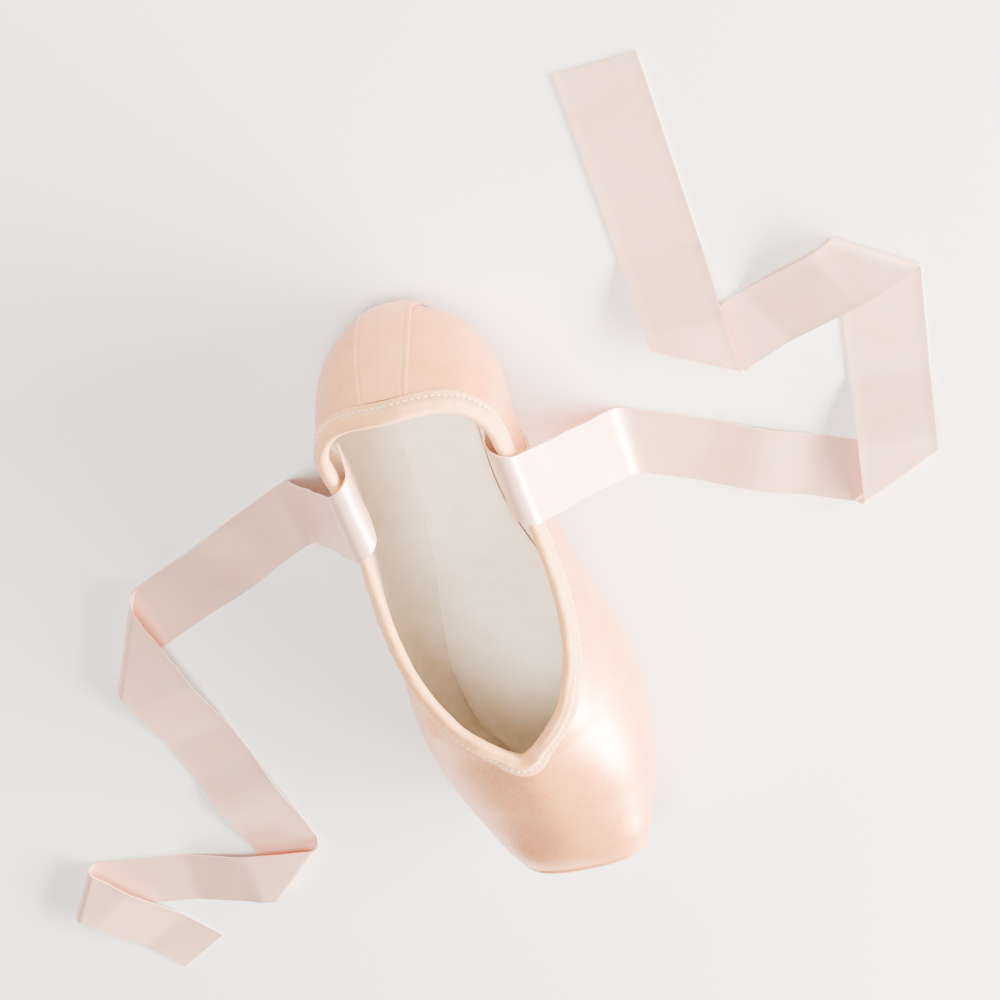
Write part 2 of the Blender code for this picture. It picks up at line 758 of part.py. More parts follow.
def make_ribbon(name, grid, lay, side, finish):
    points = [p for pair in ribbon_pairs(grid, lay) for p in pair]
    if side == "left":
        points = flipped(points)
    made = mesh_object(name, points, grid_faces(len(points) // 2, 2), finish, closed=False)
    cloth = made.modifiers.new("Cloth", "SOLIDIFY")
    cloth.thickness = RIBBON_THICKNESS
    cloth.offset = 0
    cloth.use_even_offset = True
    return made


def collection(name):
    made = bpy.data.collections.new(name)
    bpy.context.scene.collection.children.link(made)
    return made


for old in list(bpy.data.objects):
    bpy.data.objects.remove(old)
SHOE = collection("pointe_shoe")
HELPERS = collection("helpers")
HELPERS.hide_render = True

satin = material("satin", SATIN, 0.35)
cotton = material("binding_tape", COTTON, 0.75)
leather = material("sole_leather", LEATHER, 0.6)
sock = material("sock", SOCK, 0.9)
ribbon_satin = material("ribbon_satin", RIBBON_SATIN, 0.5)

grid = upper_grid()
make_upper(grid, satin)
make_outsole(leather)
make_insole(sock)
make_binding(grid, cotton)
make_heel_strip(grid, satin)
make_seam_tape("seam_tape_right", grid, "right", satin)
make_seam_tape("seam_tape_left", grid, "left", satin)
make_ribbon("ribbon_right", grid, RIGHT_LAY, "right", ribbon_satin)
make_ribbon("ribbon_left", grid, LEFT_LAY, "left", ribbon_satin)
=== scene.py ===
import math

import bpy
import numpy as np
from mathutils import Matrix, Vector
from mathutils.bvhtree import BVHTree


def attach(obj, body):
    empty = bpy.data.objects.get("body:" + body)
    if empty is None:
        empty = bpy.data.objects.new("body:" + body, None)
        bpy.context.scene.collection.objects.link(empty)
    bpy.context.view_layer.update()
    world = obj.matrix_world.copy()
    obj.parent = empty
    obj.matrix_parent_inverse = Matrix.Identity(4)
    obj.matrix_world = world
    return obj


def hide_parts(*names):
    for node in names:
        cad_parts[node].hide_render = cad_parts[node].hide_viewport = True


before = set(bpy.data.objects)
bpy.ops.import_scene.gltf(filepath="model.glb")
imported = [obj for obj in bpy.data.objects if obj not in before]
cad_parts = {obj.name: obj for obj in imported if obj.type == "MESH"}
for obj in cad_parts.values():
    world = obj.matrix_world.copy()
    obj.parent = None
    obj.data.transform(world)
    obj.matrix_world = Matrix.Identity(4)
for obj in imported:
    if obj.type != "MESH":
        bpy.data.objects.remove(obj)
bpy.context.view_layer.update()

# Satin upper
# Shoe satin drawn over the last, with a box stiffened by paste and cloth under it. It is turned in
# beneath the outsole all round and pleated by hand under the toe. Right, here and in names, is +X.
MM = 0.001
SHOE_LENGTH = 240 * MM
BALL_WIDTH = 78 * MM
INSTEP_HEIGHT = 60 * MM
HEEL_HEIGHT = 60 * MM
HEEL_DEPTH = 32 * MM
PLATFORM_EDGE = 4 * MM
PLATFORM_CROWN = 0.8 * MM
TOE_SPRING = 3.5 * MM
ARCH_RISE = 5 * MM
SPRING_END = 0.19
ARCH_FRONT = (0.42, 0.64)
ARCH_BACK = (0.66, 0.80)
STIFFENING = (0.16, 0.31)
WALL = 1.4 * MM
BOX_WALL = 2.8 * MM
CLEARANCE = 0.3 * MM
BALL_ALONG = 82 * MM  # from the platform to the origin
# The last, section by section, in shares: SHOE_LENGTH, BALL_WIDTH, INSTEP_HEIGHT twice,
# the exponent of the upper curve, and the flat part of the half width
LAST_COLUMNS = ("along", "width", "widest", "top", "crown", "flat")
LAST_ROWS = (
    (0.017, 0.63, 0.25, 0.51, 2.7, 0.45),
    (0.050, 0.71, 0.26, 0.57, 2.5, 0.47),
    (0.105, 0.81, 0.27, 0.65, 2.3, 0.50),
    (0.190, 0.93, 0.30, 0.76, 2.1, 0.52),
    (0.270, 0.99, 0.32, 0.85, 1.95, 0.52),
    (0.350, 0.99, 0.34, 0.93, 1.85, 0.52),
    (0.440, 0.93, 0.36, 1.01, 1.85, 0.50),
    (0.540, 0.84, 0.38, 1.10, 1.9, 0.48),
    (0.660, 0.76, 0.40, 1.20, 2.0, 0.46),
    (0.780, 0.735, 0.39, 1.28, 2.0, 0.46),
    (0.867, 0.75, 0.37, 1.33, 2.0, 0.48),
    (0.933, 0.78, 0.37, 1.31, 2.0, 0.50),
    (1.000, 0.82, 0.37, 1.27, 2.0, 0.50),
)
BASE_CURVE = 2.3
THROAT_ALONG = 86 * MM
COLLAR_ROWS = (
    (0.440, 0.925),
    (0.530, 0.850),
    (0.640, 0.765),
    (0.740, 0.725),
    (0.830, 0.745),
    (0.915, 0.860),
    (1.000, 1.000),
)
SOLE_THICKNESS = 2.5 * MM
SOLE_EDGE = 1.3 * MM
SOLE_WIDTH = 59 * MM
SOLE_TOE = 24 * MM
SOLE_HEEL = 11 * MM
SOLE_ROUND = 36 * MM
SOLE_ROWS = (
    (0.00, 0.84),
    (0.12, 0.93),
    (0.28, 1.00),
    (0.40, 0.89),
    (0.52, 0.70),
    (0.64, 0.575),
    (0.76, 0.55),
    (0.86, 0.59),
    (0.93, 0.56),
    (0.975, 0.45),
    (1.00, 0.36),
)
LASTED_MARGIN = 7 * MM
HEEL_AXIS = SHOE_LENGTH - HEEL_DEPTH
SOLE_LENGTH = SHOE_LENGTH - SOLE_TOE - SOLE_HEEL
GROUND = SOLE_THICKNESS + CLEARANCE
SATIN_CLOTH = 0.6 * MM
SATIN_STEPS = (0.62 * MM, 1.6 * MM)  # between sections of the skin, at the toe and behind it
SATIN_ROWS = 104
ROW_EVEN = 0.42  # share of even spacing in the rows up the skin
ROW_DRAWN = 0.58  # share that draws them together where the satin is pleated
CROWDED = 10 * MM  # of closer sections from where the leather's round toe begins
PLEATED_TO = 46 * MM
# The throat is cut to a soft point a little in front of the solid's round one
THROAT_TIP = 83.5 * MM
THROAT_SLOPE = 0.97
THROAT_ROUND = 3 * MM
THROAT_EASE = (92 * MM, 106 * MM)


def smooth(table, at):
    """Values at `at` on a smooth curve through rows of (place, value)."""
    places, values = np.array(table, float).T
    slopes = np.gradient(values, places)
    at = np.clip(at, places[0], places[-1])
    i = np.clip(np.searchsorted(places, at, "right") - 1, 0, len(places) - 2)
    step = places[i + 1] - places[i]
    t = (at - places[i]) / step
    return (
        values[i] * (2 * t**3 - 3 * t**2 + 1)
        + values[i + 1] * (3 * t**2 - 2 * t**3)
        + step * (slopes[i] * (t**3 - 2 * t**2 + t) + slopes[i + 1] * (t**3 - t**2))
    )


def between(value, low, high):
    """0 at low and 1 at high, with level ends."""
    t = np.clip((value - low) / (high - low), 0.0, 1.0)
    return t * t * (3 - 2 * t)


def last_value(column, along):
    k = LAST_COLUMNS.index(column)
    return smooth([(row[0], row[k]) for row in LAST_ROWS], along / SHOE_LENGTH)


def rise(along):
    """How far the sole's line stands off the floor: toe spring, then the arch."""
    share = along / SHOE_LENGTH
    spring = TOE_SPRING * (1 - between(share, 0, SPRING_END))
    return spring + ARCH_RISE * np.minimum(between(share, *ARCH_FRONT), 1 - between(share, *ARCH_BACK))


def wall_at(along):
    return BOX_WALL + (WALL - BOX_WALL) * between(along / SHOE_LENGTH, *STIFFENING)


def section_curve(along, shrink=0.0, count=400):
    """(reach, height, run) from the bottom's middle, out to the widest point and up to the top."""
    half = last_value("width", along) * BALL_WIDTH / 2
    widest, top = last_value("widest", along) * INSTEP_HEIGHT, last_value("top", along) * INSTEP_HEIGHT
    share = max(0.0, 1 - shrink / half)
    flat = half * last_value("flat", along) * share
    half = half * share
    low, high = min(shrink, widest), max(top - shrink, widest)
    turn = np.linspace(0, math.pi / 2, count)
    base, up = 2 / BASE_CURVE, 2 / last_value("crown", along)
    reach_under = flat + (half - flat) * np.sin(turn) ** base
    reach_over = half * np.cos(turn[1:]) ** up
    reach = np.concatenate([[0.0], reach_under, reach_over])
    height_under = widest - (widest - low) * np.cos(turn) ** base
    height_over = widest + (high - widest) * np.sin(turn[1:]) ** up
    height = np.concatenate([[low], height_under, height_over])
    reach[-1] = 0.0
    run = np.concatenate([[0.0], np.cumsum(np.hypot(np.diff(reach), np.diff(height)))])
    return reach, height + GROUND + rise(along), run


def bottom_height(x, y):
    """Height of the last's underside above the floor at points of the plan."""
    along, reach = y + BALL_ALONG, np.abs(x)
    turned = np.arctan2(along - HEEL_AXIS, np.abs(x)) / (math.pi / 2)
    behind = along > HEEL_AXIS
    reach = np.where(behind, np.hypot(x, along - HEEL_AXIS), reach)
    along = np.where(behind, HEEL_AXIS + HEEL_DEPTH * turned, along)
    half = last_value("width", along) * BALL_WIDTH / 2
    flat = half * last_value("flat", along)
    out = np.clip((reach - flat) / (half - flat), 0.0, 0.98)
    lift = last_value("widest", along) * INSTEP_HEIGHT * (1 - (1 - out**BASE_CURVE) ** (1 / BASE_CURVE))
    return GROUND + rise(along) + lift


def sole_outline(inset, count=600):
    """(half width, along) of the outsole's right edge from toe to heel, moved in by inset."""
    back = SHOE_LENGTH - SOLE_HEEL - inset
    along = SOLE_TOE + SOLE_LENGTH * (1 - np.cos(np.linspace(0, math.pi / 2, count)))
    front = np.clip((along - SOLE_TOE) / SOLE_ROUND, 0.0, 1.0)
    half = smooth(SOLE_ROWS, (along - SOLE_TOE) / SOLE_LENGTH) * SOLE_WIDTH / 2
    half = half * np.sqrt(1 - (1 - front) ** 2)
    d_half, d_along = np.gradient(half), np.gradient(along)
    size = np.hypot(d_half, d_along)
    half, along = half - inset * d_along / size, along + inset * d_half / size
    keep = (half > 0) & (along < back)
    half, along = half[keep], along[keep]
    return np.concatenate([[0.0], half, half[-1:]]), np.concatenate([along[:1], along, [back]])


def outline_reach(along, inset):
    """Reach of the sole's outline, moved in by inset, in a section's plane."""
    half, places = sole_outline(inset)
    if along <= HEEL_AXIS:
        return float(np.interp(along, places, half, left=0.0))
    behind = places >= HEEL_AXIS
    half, places = np.append(half[behind], 0.0), np.append(places[behind], places[-1])
    turns = np.arctan2(places - HEEL_AXIS, half)
    turn = math.pi / 2 * (along - HEEL_AXIS) / HEEL_DEPTH
    return float(np.interp(turn, turns, np.hypot(half, places - HEEL_AXIS)))


def collar_height(along):
    """Height of the collar's edge, from the throat on the last's own top line to the back seam."""
    throat = last_value("top", THROAT_ALONG) * INSTEP_HEIGHT + GROUND + rise(THROAT_ALONG)
    rows = [(THROAT_ALONG / SHOE_LENGTH, throat)]
    rows += [(place, share * HEEL_HEIGHT) for place, share in COLLAR_ROWS]
    over_the_seam = (2 - COLLAR_ROWS[-2][0], COLLAR_ROWS[-2][1] * HEEL_HEIGHT)
    return smooth(rows + [over_the_seam], along / SHOE_LENGTH)


def collar_mark(along, reach, height, run):
    """Where a section meets the collar: on the pointed throat, then on the quarters' line."""
    upper_part = np.arange(len(run)) > np.argmax(reach)
    level = float(np.interp(collar_height(along), height[upper_part], run[upper_part]))
    behind = THROAT_SLOPE * max(0.0, along - THROAT_TIP) + THROAT_ROUND
    pointed = run[-1] - math.sqrt(behind**2 - THROAT_ROUND**2)
    return pointed + (level - pointed) * float(between(along, *THROAT_EASE))


def skin_grid(steps, rows, turned_in):
    """The right half of the last's skin, from the sole's edge up.

    Each point comes with its place along, its run from the sole's edge, the span from there to the
    section's end, and its run to the top line.
    """
    toe_step, step = steps
    deep = last_value("top", PLATFORM_EDGE) * INSTEP_HEIGHT / 2
    sections = [(0.0, shrink) for shrink in np.linspace(deep, PLATFORM_EDGE, max(4, int(deep / step)))[:-1]]
    for a in np.linspace(0, math.pi / 2, max(5, int(1.6 * PLATFORM_EDGE / toe_step))):
        sections.append((PLATFORM_EDGE * (1 - math.cos(a)), PLATFORM_EDGE * (1 - math.sin(a))))
    # The edge of the leather's round toe crosses the sections fast, so they crowd together there
    crowded = SOLE_TOE + CROWDED * np.linspace(0, 1, int(1.6 * CROWDED / toe_step)) ** 2
    toe = np.linspace(PLATFORM_EDGE, SOLE_TOE, int((SOLE_TOE - PLATFORM_EDGE) / toe_step))[1:]
    sides_from = SOLE_TOE + CROWDED
    sides = np.linspace(sides_from, PLEATED_TO, int((PLEATED_TO - SOLE_TOE - CROWDED) / toe_step))[1:]
    toe = np.concatenate([toe, crowded[1:], sides])
    before = np.linspace(PLEATED_TO, THROAT_TIP, int((THROAT_TIP - PLEATED_TO) / step))[1:]
    opening = np.linspace(0, 1, int((SHOE_LENGTH - THROAT_TIP) / step)) ** 1.12
    after = THROAT_TIP + (SHOE_LENGTH - THROAT_TIP) * opening[1:]
    sections += [(float(along), 0.0) for along in (*toe, *before, *after)]
    points, facts = [], []
    for along, shrink in sections:
        reach, height, run = section_curve(max(along, PLATFORM_EDGE), shrink)
        lower = np.arange(len(run)) <= np.argmax(reach)
        start = edge = 0.0
        if along > SOLE_TOE:
            edge = float(np.interp(outline_reach(along, 0.0) + CLEARANCE, reach[lower], run[lower]))
            start = float(np.interp(outline_reach(along, turned_in), reach[lower], run[lower]))
        end = run[-1] if along <= THROAT_TIP else collar_mark(along, reach, height, run)
        under = max(2, rows // 16)
        edge = max(edge, start + (end - start) * under / rows / 3)
        rising = np.linspace(0, 1, rows - under + 1)
        rising = ROW_EVEN * rising + ROW_DRAWN * rising**2
        marks = np.concatenate([np.linspace(start, edge, under)[:-1], edge + (end - edge) * rising])
        r, z = np.interp(marks, run, reach), np.interp(marks, run, height)
        if along <= HEEL_AXIS:
            x, y = r, np.full(len(r), along)
        else:
            turn = math.pi / 2 * (along - HEEL_AXIS) / HEEL_DEPTH
            x, y = r * math.cos(turn), HEEL_AXIS + r * math.sin(turn)
        y = y - PLATFORM_CROWN * max(0.0, (shrink - PLATFORM_EDGE) / (deep - PLATFORM_EDGE))
        points.append(np.stack([x, y - BALL_ALONG, z], axis=1))
        place_along = np.full(len(r), along - shrink)
        span = np.full(len(r), end - edge)
        facts.append(np.stack([place_along, marks - edge, span, run[-1] - marks], axis=1))
    points, facts = np.array(points), np.array(facts)
    points[0] = (0.0, points[0][0][1], points[0][:, 2].mean())
    points[-1][:, 0] = 0.0
    return points, facts


def both_sides(grid, facts):
    """The skin with its left half added and the middle line joined.

    Gives the points, the facts with the side last, each face's corners as places in the points and as
    places in the facts, and the facts' place of each point.
    """
    columns, rows = grid.shape[:2]
    i, j = np.meshgrid(np.arange(columns - 1), np.arange(rows - 1), indexing="ij")
    a = (i * rows + j).ravel()
    quads = np.stack([a, a + rows, a + rows + 1, a + 1], axis=1)
    half = grid.reshape(-1, 3)
    points = np.concatenate([half, half * (-1, 1, 1)])
    facts = facts.reshape(-1, facts.shape[-1])
    side = np.repeat([1.0, -1.0], len(half))[:, None]
    facts = np.concatenate([np.concatenate([facts, facts]), side], axis=1)
    corners = np.concatenate([quads, quads[:, ::-1] + len(half)])
    rounded = (points * 1e7).round().astype(np.int64)  # to a ten-thousandth of a millimetre
    _, first, same = np.unique(rounded, axis=0, return_index=True, return_inverse=True)
    return points[first], facts, same.ravel()[corners], corners, first


def face_tuples(faces):
    """Faces without the corners that have run together."""
    found = []
    for face in faces.tolist():
        corners = [c for n, c in enumerate(face) if c != face[n - 1]]
        if len(set(corners)) > 2:
            found.append(corners)
    return found


def vertex_normals(points, faces):
    """Unit normals of a skin of quads, weighted by area."""
    a, b, c, d = (points[faces[:, k]] for k in range(4))
    flat = np.cross(c - a, d - b)
    normals = np.zeros_like(points)
    for k in range(4):
        np.add.at(normals, faces[:, k], flat)
    return normals / np.maximum(np.linalg.norm(normals, axis=1), 1e-12)[:, None]


def mesh_piece(name, points, faces, uv, finish):
    """A smooth mesh from its points, its faces and, in millimetres, a texture place for each corner."""
    mesh = bpy.data.meshes.new(name)
    mesh.from_pydata([tuple(p) for p in points], [], faces)
    layer = mesh.uv_layers.new(name="UVMap")
    layer.data.foreach_set("uv", np.array(uv, np.float32).ravel())
    mesh.materials.append(finish)
    mesh.shade_smooth()
    made = bpy.data.objects.new(name, mesh)
    bpy.context.scene.collection.objects.link(made)
    return made


def shell(name, outer, inner, faces, corners, uv, finish, sharp=60):
    """A closed shell between two skins of the same faces, with rims along their open edges."""
    count = len(outer)
    found, uvs, edges = [], [], {}
    for face, corner in zip(faces.tolist(), corners.tolist()):
        keep = [n for n in range(len(face)) if face[n] != face[n - 1]]
        if len({face[n] for n in keep}) < 3:
            continue
        ring, where = [face[n] for n in keep], [corner[n] for n in keep]
        found.append(ring)
        uvs += where
        found.append([v + count for v in reversed(ring)])
        uvs += reversed(where)
        for n in range(len(ring)):
            edges[(ring[n - 1], ring[n])] = (where[n - 1], where[n])
    for (a, b), (u, v) in edges.items():
        if (b, a) not in edges:
            found.append([b, a, a + count, b + count])
            uvs += [v, u, u, v]
    made = mesh_piece(name, np.concatenate([outer, inner]), found, uv[uvs], finish)
    made.data.set_sharp_from_angle(angle=math.radians(sharp))
    return made


def ripple(x, seed, waves=((1.0, 1.0), (0.55, 2.3), (0.3, 4.1))):
    """A smooth wandering value along x, always the same for one seed."""
    return sum(size * np.sin(rate * x + seed * (1.7 + 2.9 * k)) for k, (size, rate) in enumerate(waves))


# Pleats under the toe, round a centre under the outsole: the angle where each leaves the leather and the
# angle where it ends, then length, height and width in millimetres, and the side it is pressed to
TOE_PLEATS = (
    (88, 92, 7, 0.35, 1.6, 1),
    (76, 80, 11, 0.5, 2.0, 1),
    (65, 66, 8, 0.35, 1.4, 1),
    (57, 54, 20, 0.55, 2.6, 1),
    (47, 44, 24, 0.6, 2.6, 1),
    (38, 33, 29, 0.7, 2.2, 1),
    (28, 20, 40, 0.95, 2.6, 1),
    (12, 9, 22, 0.22, 3.0, 1),
    (-3, -2, 26, 0.20, 3.4, 1),
    (-15, -10, 22, 0.22, 3.0, -1),
    (-31, -18, 40, 0.85, 2.4, -1),
    (-39, -27, 26, 0.6, 2.2, -1),
    (-49, -44, 21, 0.5, 2.4, -1),
    (-60, -58, 9, 0.4, 1.5, -1),
    (-70, -72, 13, 0.45, 2.2, -1),
    (-84, -88, 8, 0.35, 1.6, -1),
)
TOE_CENTRE = SOLE_TOE + 22 * MM
# Short tucks where the satin turns in under the leather at the heel, in the same terms
HEEL_TUCKS = (
    (-44, -50, 7, 0.45, 1.8, 1),
    (-24, -27, 6, 0.6, 1.5, 1),
    (9, 12, 7, 0.7, 1.6, -1),
    (27, 30, 9, 0.5, 2.0, -1),
    (46, 52, 6, 0.4, 1.6, -1),
)
HEEL_CENTRE = SHOE_LENGTH - SOLE_HEEL - 20 * MM
TUCK_EDGE = 0.5 * MM  # width of a pleat's sharp side
# Soft folds in the quarters and the waist: side, then place along in millimetres and share of the height
# at each end, then width and depth in millimetres
FOLDS = (
    (1, 178, 0.00, 150, 0.96, 3.2, 1.45),
    (1, 163, 0.10, 146, 0.80, 5.2, 0.45),
    (1, 149, 0.02, 118, 0.88, 4.6, 0.90),
    (1, 131, 0.06, 110, 0.60, 6.0, 0.50),
    (1, 118, 0.02, 101, 0.40, 5.0, 0.35),
    (1, 200, 0.03, 191, 0.55, 5.5, 0.35),
    (1, 108, 0.95, 92, 0.45, 6.0, 0.30),
    (-1, 177, 0.00, 147, 0.97, 4.2, 1.15),
    (-1, 164, 0.06, 148, 0.60, 5.0, 0.45),
    (-1, 152, 0.03, 121, 0.90, 4.8, 0.85),
    (-1, 129, 0.05, 108, 0.66, 5.6, 0.55),
    (-1, 203, 0.03, 190, 0.60, 5.5, 0.40),
    (-1, 106, 0.95, 93, 0.40, 6.0, 0.35),
)
RIDGE = 0.9 * MM  # the soft roof ridge down the box
RIDGE_WIDTH = 8 * MM


def tuck_height(points, tucks, centre, way):
    """Tucks that run out from under the leather, each a swell with a sharp drop on one side."""
    x, y = points[:, 0], (points[:, 1] + BALL_ALONG - centre) * way
    angle, distance = np.degrees(np.arctan2(x, y)), np.hypot(x, y)
    half, along = sole_outline(0.0)
    edge_angle = np.degrees(np.arctan2(half, (along - centre) * way))
    edge_reach = np.hypot(half, along - centre)
    order = np.argsort(edge_angle)
    at_edge = np.interp(np.abs(angle), edge_angle[order], edge_reach[order])
    above = points[:, 2] - bottom_height(x, points[:, 1])
    out = np.hypot(np.maximum(distance - at_edge, 0.0), np.maximum(above - 1 * MM, 0.0))
    height = np.zeros(len(points))
    for start, end, length, tall, width, pressed in tucks:
        line = start + (end - start) * np.clip(out / (length * MM), 0, 1)
        line = line + 1.2 * np.sin(out / (4.5 * MM) + start)
        across = np.radians(angle - line) * distance * pressed
        swell = np.exp(-((across / np.where(across < 0, width * MM, TUCK_EDGE)) ** 2))
        dip = np.exp(-(((across - 2.2 * TUCK_EDGE) / (1.6 * TUCK_EDGE)) ** 2))
        height += tall * MM * (1 - between(out, 0.5 * length * MM, length * MM)) * (swell - 0.45 * dip)
    return height * (1 - between(above, 8 * MM, 24 * MM))


def fold_height(facts):
    """Soft troughs between two places of the quarter, steeper on their lower side, with a ridge there."""
    along, up, span, _, side = facts.T
    height = np.zeros(len(along))
    here = np.stack([along, up / np.maximum(span, 1e-6) * HEEL_HEIGHT], axis=1)
    for at, along0, up0, along1, up1, width, depth in FOLDS:
        start, end = np.array([along0 * MM, up0 * HEEL_HEIGHT]), np.array([along1 * MM, up1 * HEEL_HEIGHT])
        way = end - start
        t = ((here - start) @ way) / (way @ way)
        bow = 0.10 * np.linalg.norm(way) * np.sin(np.clip(t, 0, 1) * math.pi)
        across = ((here - start) @ np.array([-way[1], way[0]])) / np.linalg.norm(way) + bow
        w = width * MM * (0.75 + 0.5 * np.clip(t, 0, 1))
        shape = np.exp(-((across / np.where(across < 0, 0.5 * w, 1.3 * w)) ** 2))
        shape -= 0.55 * np.exp(-(((across + 1.15 * w) / (0.65 * w)) ** 2))
        ends = between(t, -0.08, 0.25) * (1 - between(t, 0.45, 1.02))
        height -= np.where(side == at, depth * MM * shape * ends, 0.0)
    return height


def satin_height(points, facts):
    """How far the satin stands off the last: ridge, folds, puckers along the outsole and pleats."""
    along, up, span, to_top, side = facts.T
    on_box = between(along, 2 * MM, 26 * MM)
    on_box = on_box * (1 - between(along, THROAT_TIP - 4 * MM, THROAT_TIP + 8 * MM))
    height = on_box * RIDGE * np.exp(-((to_top / RIDGE_WIDTH) ** 2))
    height -= on_box * 0.5 * RIDGE * np.exp(-(((to_top - 2.6 * RIDGE_WIDTH) / (1.5 * RIDGE_WIDTH)) ** 2))
    sides = between(along, SOLE_TOE + 8 * MM, SOLE_TOE + 34 * MM)
    pucker = ripple(along / (1.15 * MM), 1.3 + side) * np.exp(-np.maximum(up, 0) / (5 * MM))
    height += 0.11 * MM * sides * pucker
    loose = between(along, 60 * MM, 110 * MM) * (1 - between(along, 205 * MM, 235 * MM))
    height += 0.10 * MM * loose * ripple(along / (13 * MM) + up / (9 * MM), 2.1 + side)
    height += fold_height(facts)
    height += tuck_height(points, TOE_PLEATS, TOE_CENTRE, -1)
    return height + tuck_height(points, HEEL_TUCKS, HEEL_CENTRE, 1)


grid, grid_facts = skin_grid(SATIN_STEPS, SATIN_ROWS, LASTED_MARGIN / 2)
skin, skin_facts, skin_faces, skin_corners, skin_first = both_sides(grid, grid_facts)
skin_normals = vertex_normals(skin, skin_faces)
stand = satin_height(skin, skin_facts[skin_first])
satin_outside = skin + skin_normals * stand[:, None]
satin_uv = np.stack([-skin_facts[:, 3] * skin_facts[:, 4], skin_facts[:, 0]], axis=1) / MM


def linear(code):
    """Linear colour of an sRGB hex value."""
    parts = [int(code[i : i + 2], 16) / 255 for i in (1, 3, 5)]
    return (*[c / 12.92 if c <= 0.04045 else ((c + 0.055) / 1.055) ** 2.4 for c in parts], 1.0)


def new_material(name, **settings):
    """A material with its Principled shader set: (tree, shader)."""
    made = bpy.data.materials.new(name)
    made.use_nodes = True
    shader = made.node_tree.nodes["Principled BSDF"]
    for key, value in settings.items():
        shader.inputs[key.replace("_", " ")].default_value = value
    return made, made.node_tree, shader


def add(tree, kind, settings, links=()):
    """A shader node with its values, sockets and colour stops set, and its inputs linked to outputs."""
    node = tree.nodes.new("ShaderNode" + kind)
    for key, value in settings.items():
        if key == "stops":
            while len(node.color_ramp.elements) < len(value):
                node.color_ramp.elements.new(0.5)
            for element, (place, code) in zip(node.color_ramp.elements, value):
                element.position = place
                element.color = linear(code)
        elif isinstance(key, int) or key in node.inputs:
            node.inputs[key].default_value = value
        else:
            setattr(node, key, value)
    for key, source in dict(links).items():
        tree.links.new(source, node.inputs[key])
    return node


FLOAT_LENGTH = 14  # of a float of yarn, in widths of the yarn


def satin(name, light, deep, roughness, thread, anisotropy):
    """Satin: long floats of bright filament yarn side by side, so its gloss is broad and drawn out.

    It is part metallic, which cloth isn't, to hold lit and shaded planes apart as the real sheen does.
    """
    made, tree, shader = new_material(name, IOR=1.54, Anisotropic=anisotropy, Metallic=0.46)
    place = add(tree, "UVMap", {"uv_map": "UVMap"}).outputs[0]
    size = (1 / thread, 1 / (FLOAT_LENGTH * thread), 1)
    floats = add(tree, "Mapping", {"Scale": size}, {"Vector": place}).outputs[0]
    spun = {"Scale": 1.0, "Detail": 3.0, "Roughness": 0.6}
    yarn = add(tree, "TexNoise", spun, {"Vector": floats}).outputs[0]
    cloud = add(tree, "TexNoise", {"Scale": 0.07, "Detail": 3.0}, {"Vector": place}).outputs[0]
    both = add(tree, "Math", {"operation": "MULTIPLY_ADD", 1: 0.22}, {0: yarn, 2: cloud}).outputs[0]
    colour = add(tree, "ValToRGB", {"stops": ((0.38, deep), (0.82, light))}, {"Fac": both})
    spread = {"From Min": 0.3, "From Max": 0.7, "To Min": roughness - 0.03, "To Max": roughness + 0.04}
    gloss = add(tree, "MapRange", spread, {"Value": yarn})
    relief = add(tree, "Bump", {"Strength": 1.0, "Distance": 0.005 * MM}, {"Height": yarn})
    across = add(tree, "Tangent", {"direction_type": "UV_MAP", "uv_map": "UVMap"})
    for socket, source in (
        ("Base Color", colour),
        ("Roughness", gloss),
        ("Normal", relief),
        ("Tangent", across),
    ):
        tree.links.new(source.outputs[0], shader.inputs[socket])
    return made


# Polyester shoe satin, woven and pressed. Its floats run from toe to heel, and are drawn 0.3 mm wide
# because the real 0.15 mm is too fine to show
shoe_satin = satin("shoe_satin", "#F1A874", "#E99A63", 0.27, 0.3, 0.5)
inside = skin - skin_normals * SATIN_CLOTH
upper = shell("satin_upper", satin_outside, inside, skin_faces, skin_corners, satin_uv, shoe_satin)
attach(upper, "root")
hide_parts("upper")


# Lining
# Unbleached cotton drill inside the whole upper, pasted to the stiffening in the box. It stands for
# nothing in the solids, which have the upper's whole wall in one.
LINING_STEPS = (2.4 * MM, 2.4 * MM)
LINING_ROWS = 48
LINING_GAP = 0.05 * MM
BAND_WIDTH = 0.314  # of one band in a wave texture of scale 1


def woven_cotton(name, light, deep, thread, roughness):
    """Plain or twill cotton: spun yarn over and under, so it is matt with a small square grain."""
    settings = {"IOR": 1.5, "Roughness": roughness, "Sheen_Weight": 0.15, "Sheen_Roughness": 0.6}
    made, tree, shader = new_material(name, **settings)
    place = add(tree, "UVMap", {"uv_map": "UVMap"}).outputs[0]
    yarns = []
    for direction in ("X", "Y"):
        bands = {"Scale": BAND_WIDTH / thread, "Distortion": 0.6, "Detail": 1.0}
        bands["bands_direction"] = direction
        yarns.append(add(tree, "TexWave", bands, {"Vector": place}).outputs["Fac"])
    weave = add(tree, "Math", {"operation": "MULTIPLY"}, {0: yarns[0], 1: yarns[1]}).outputs[0]
    slub = add(tree, "TexNoise", {"Scale": 0.12, "Detail": 2.0}, {"Vector": place}).outputs[0]
    both = add(tree, "Math", {"operation": "MULTIPLY_ADD", 1: 0.5}, {0: weave, 2: slub}).outputs[0]
    colour = add(tree, "ValToRGB", {"stops": ((0.25, deep), (0.95, light))}, {"Fac": both})
    relief = add(tree, "Bump", {"Strength": 1.0, "Distance": 0.06 * MM}, {"Height": weave})
    tree.links.new(colour.outputs[0], shader.inputs["Base Color"])
    tree.links.new(relief.outputs[0], shader.inputs["Normal"])
    return made


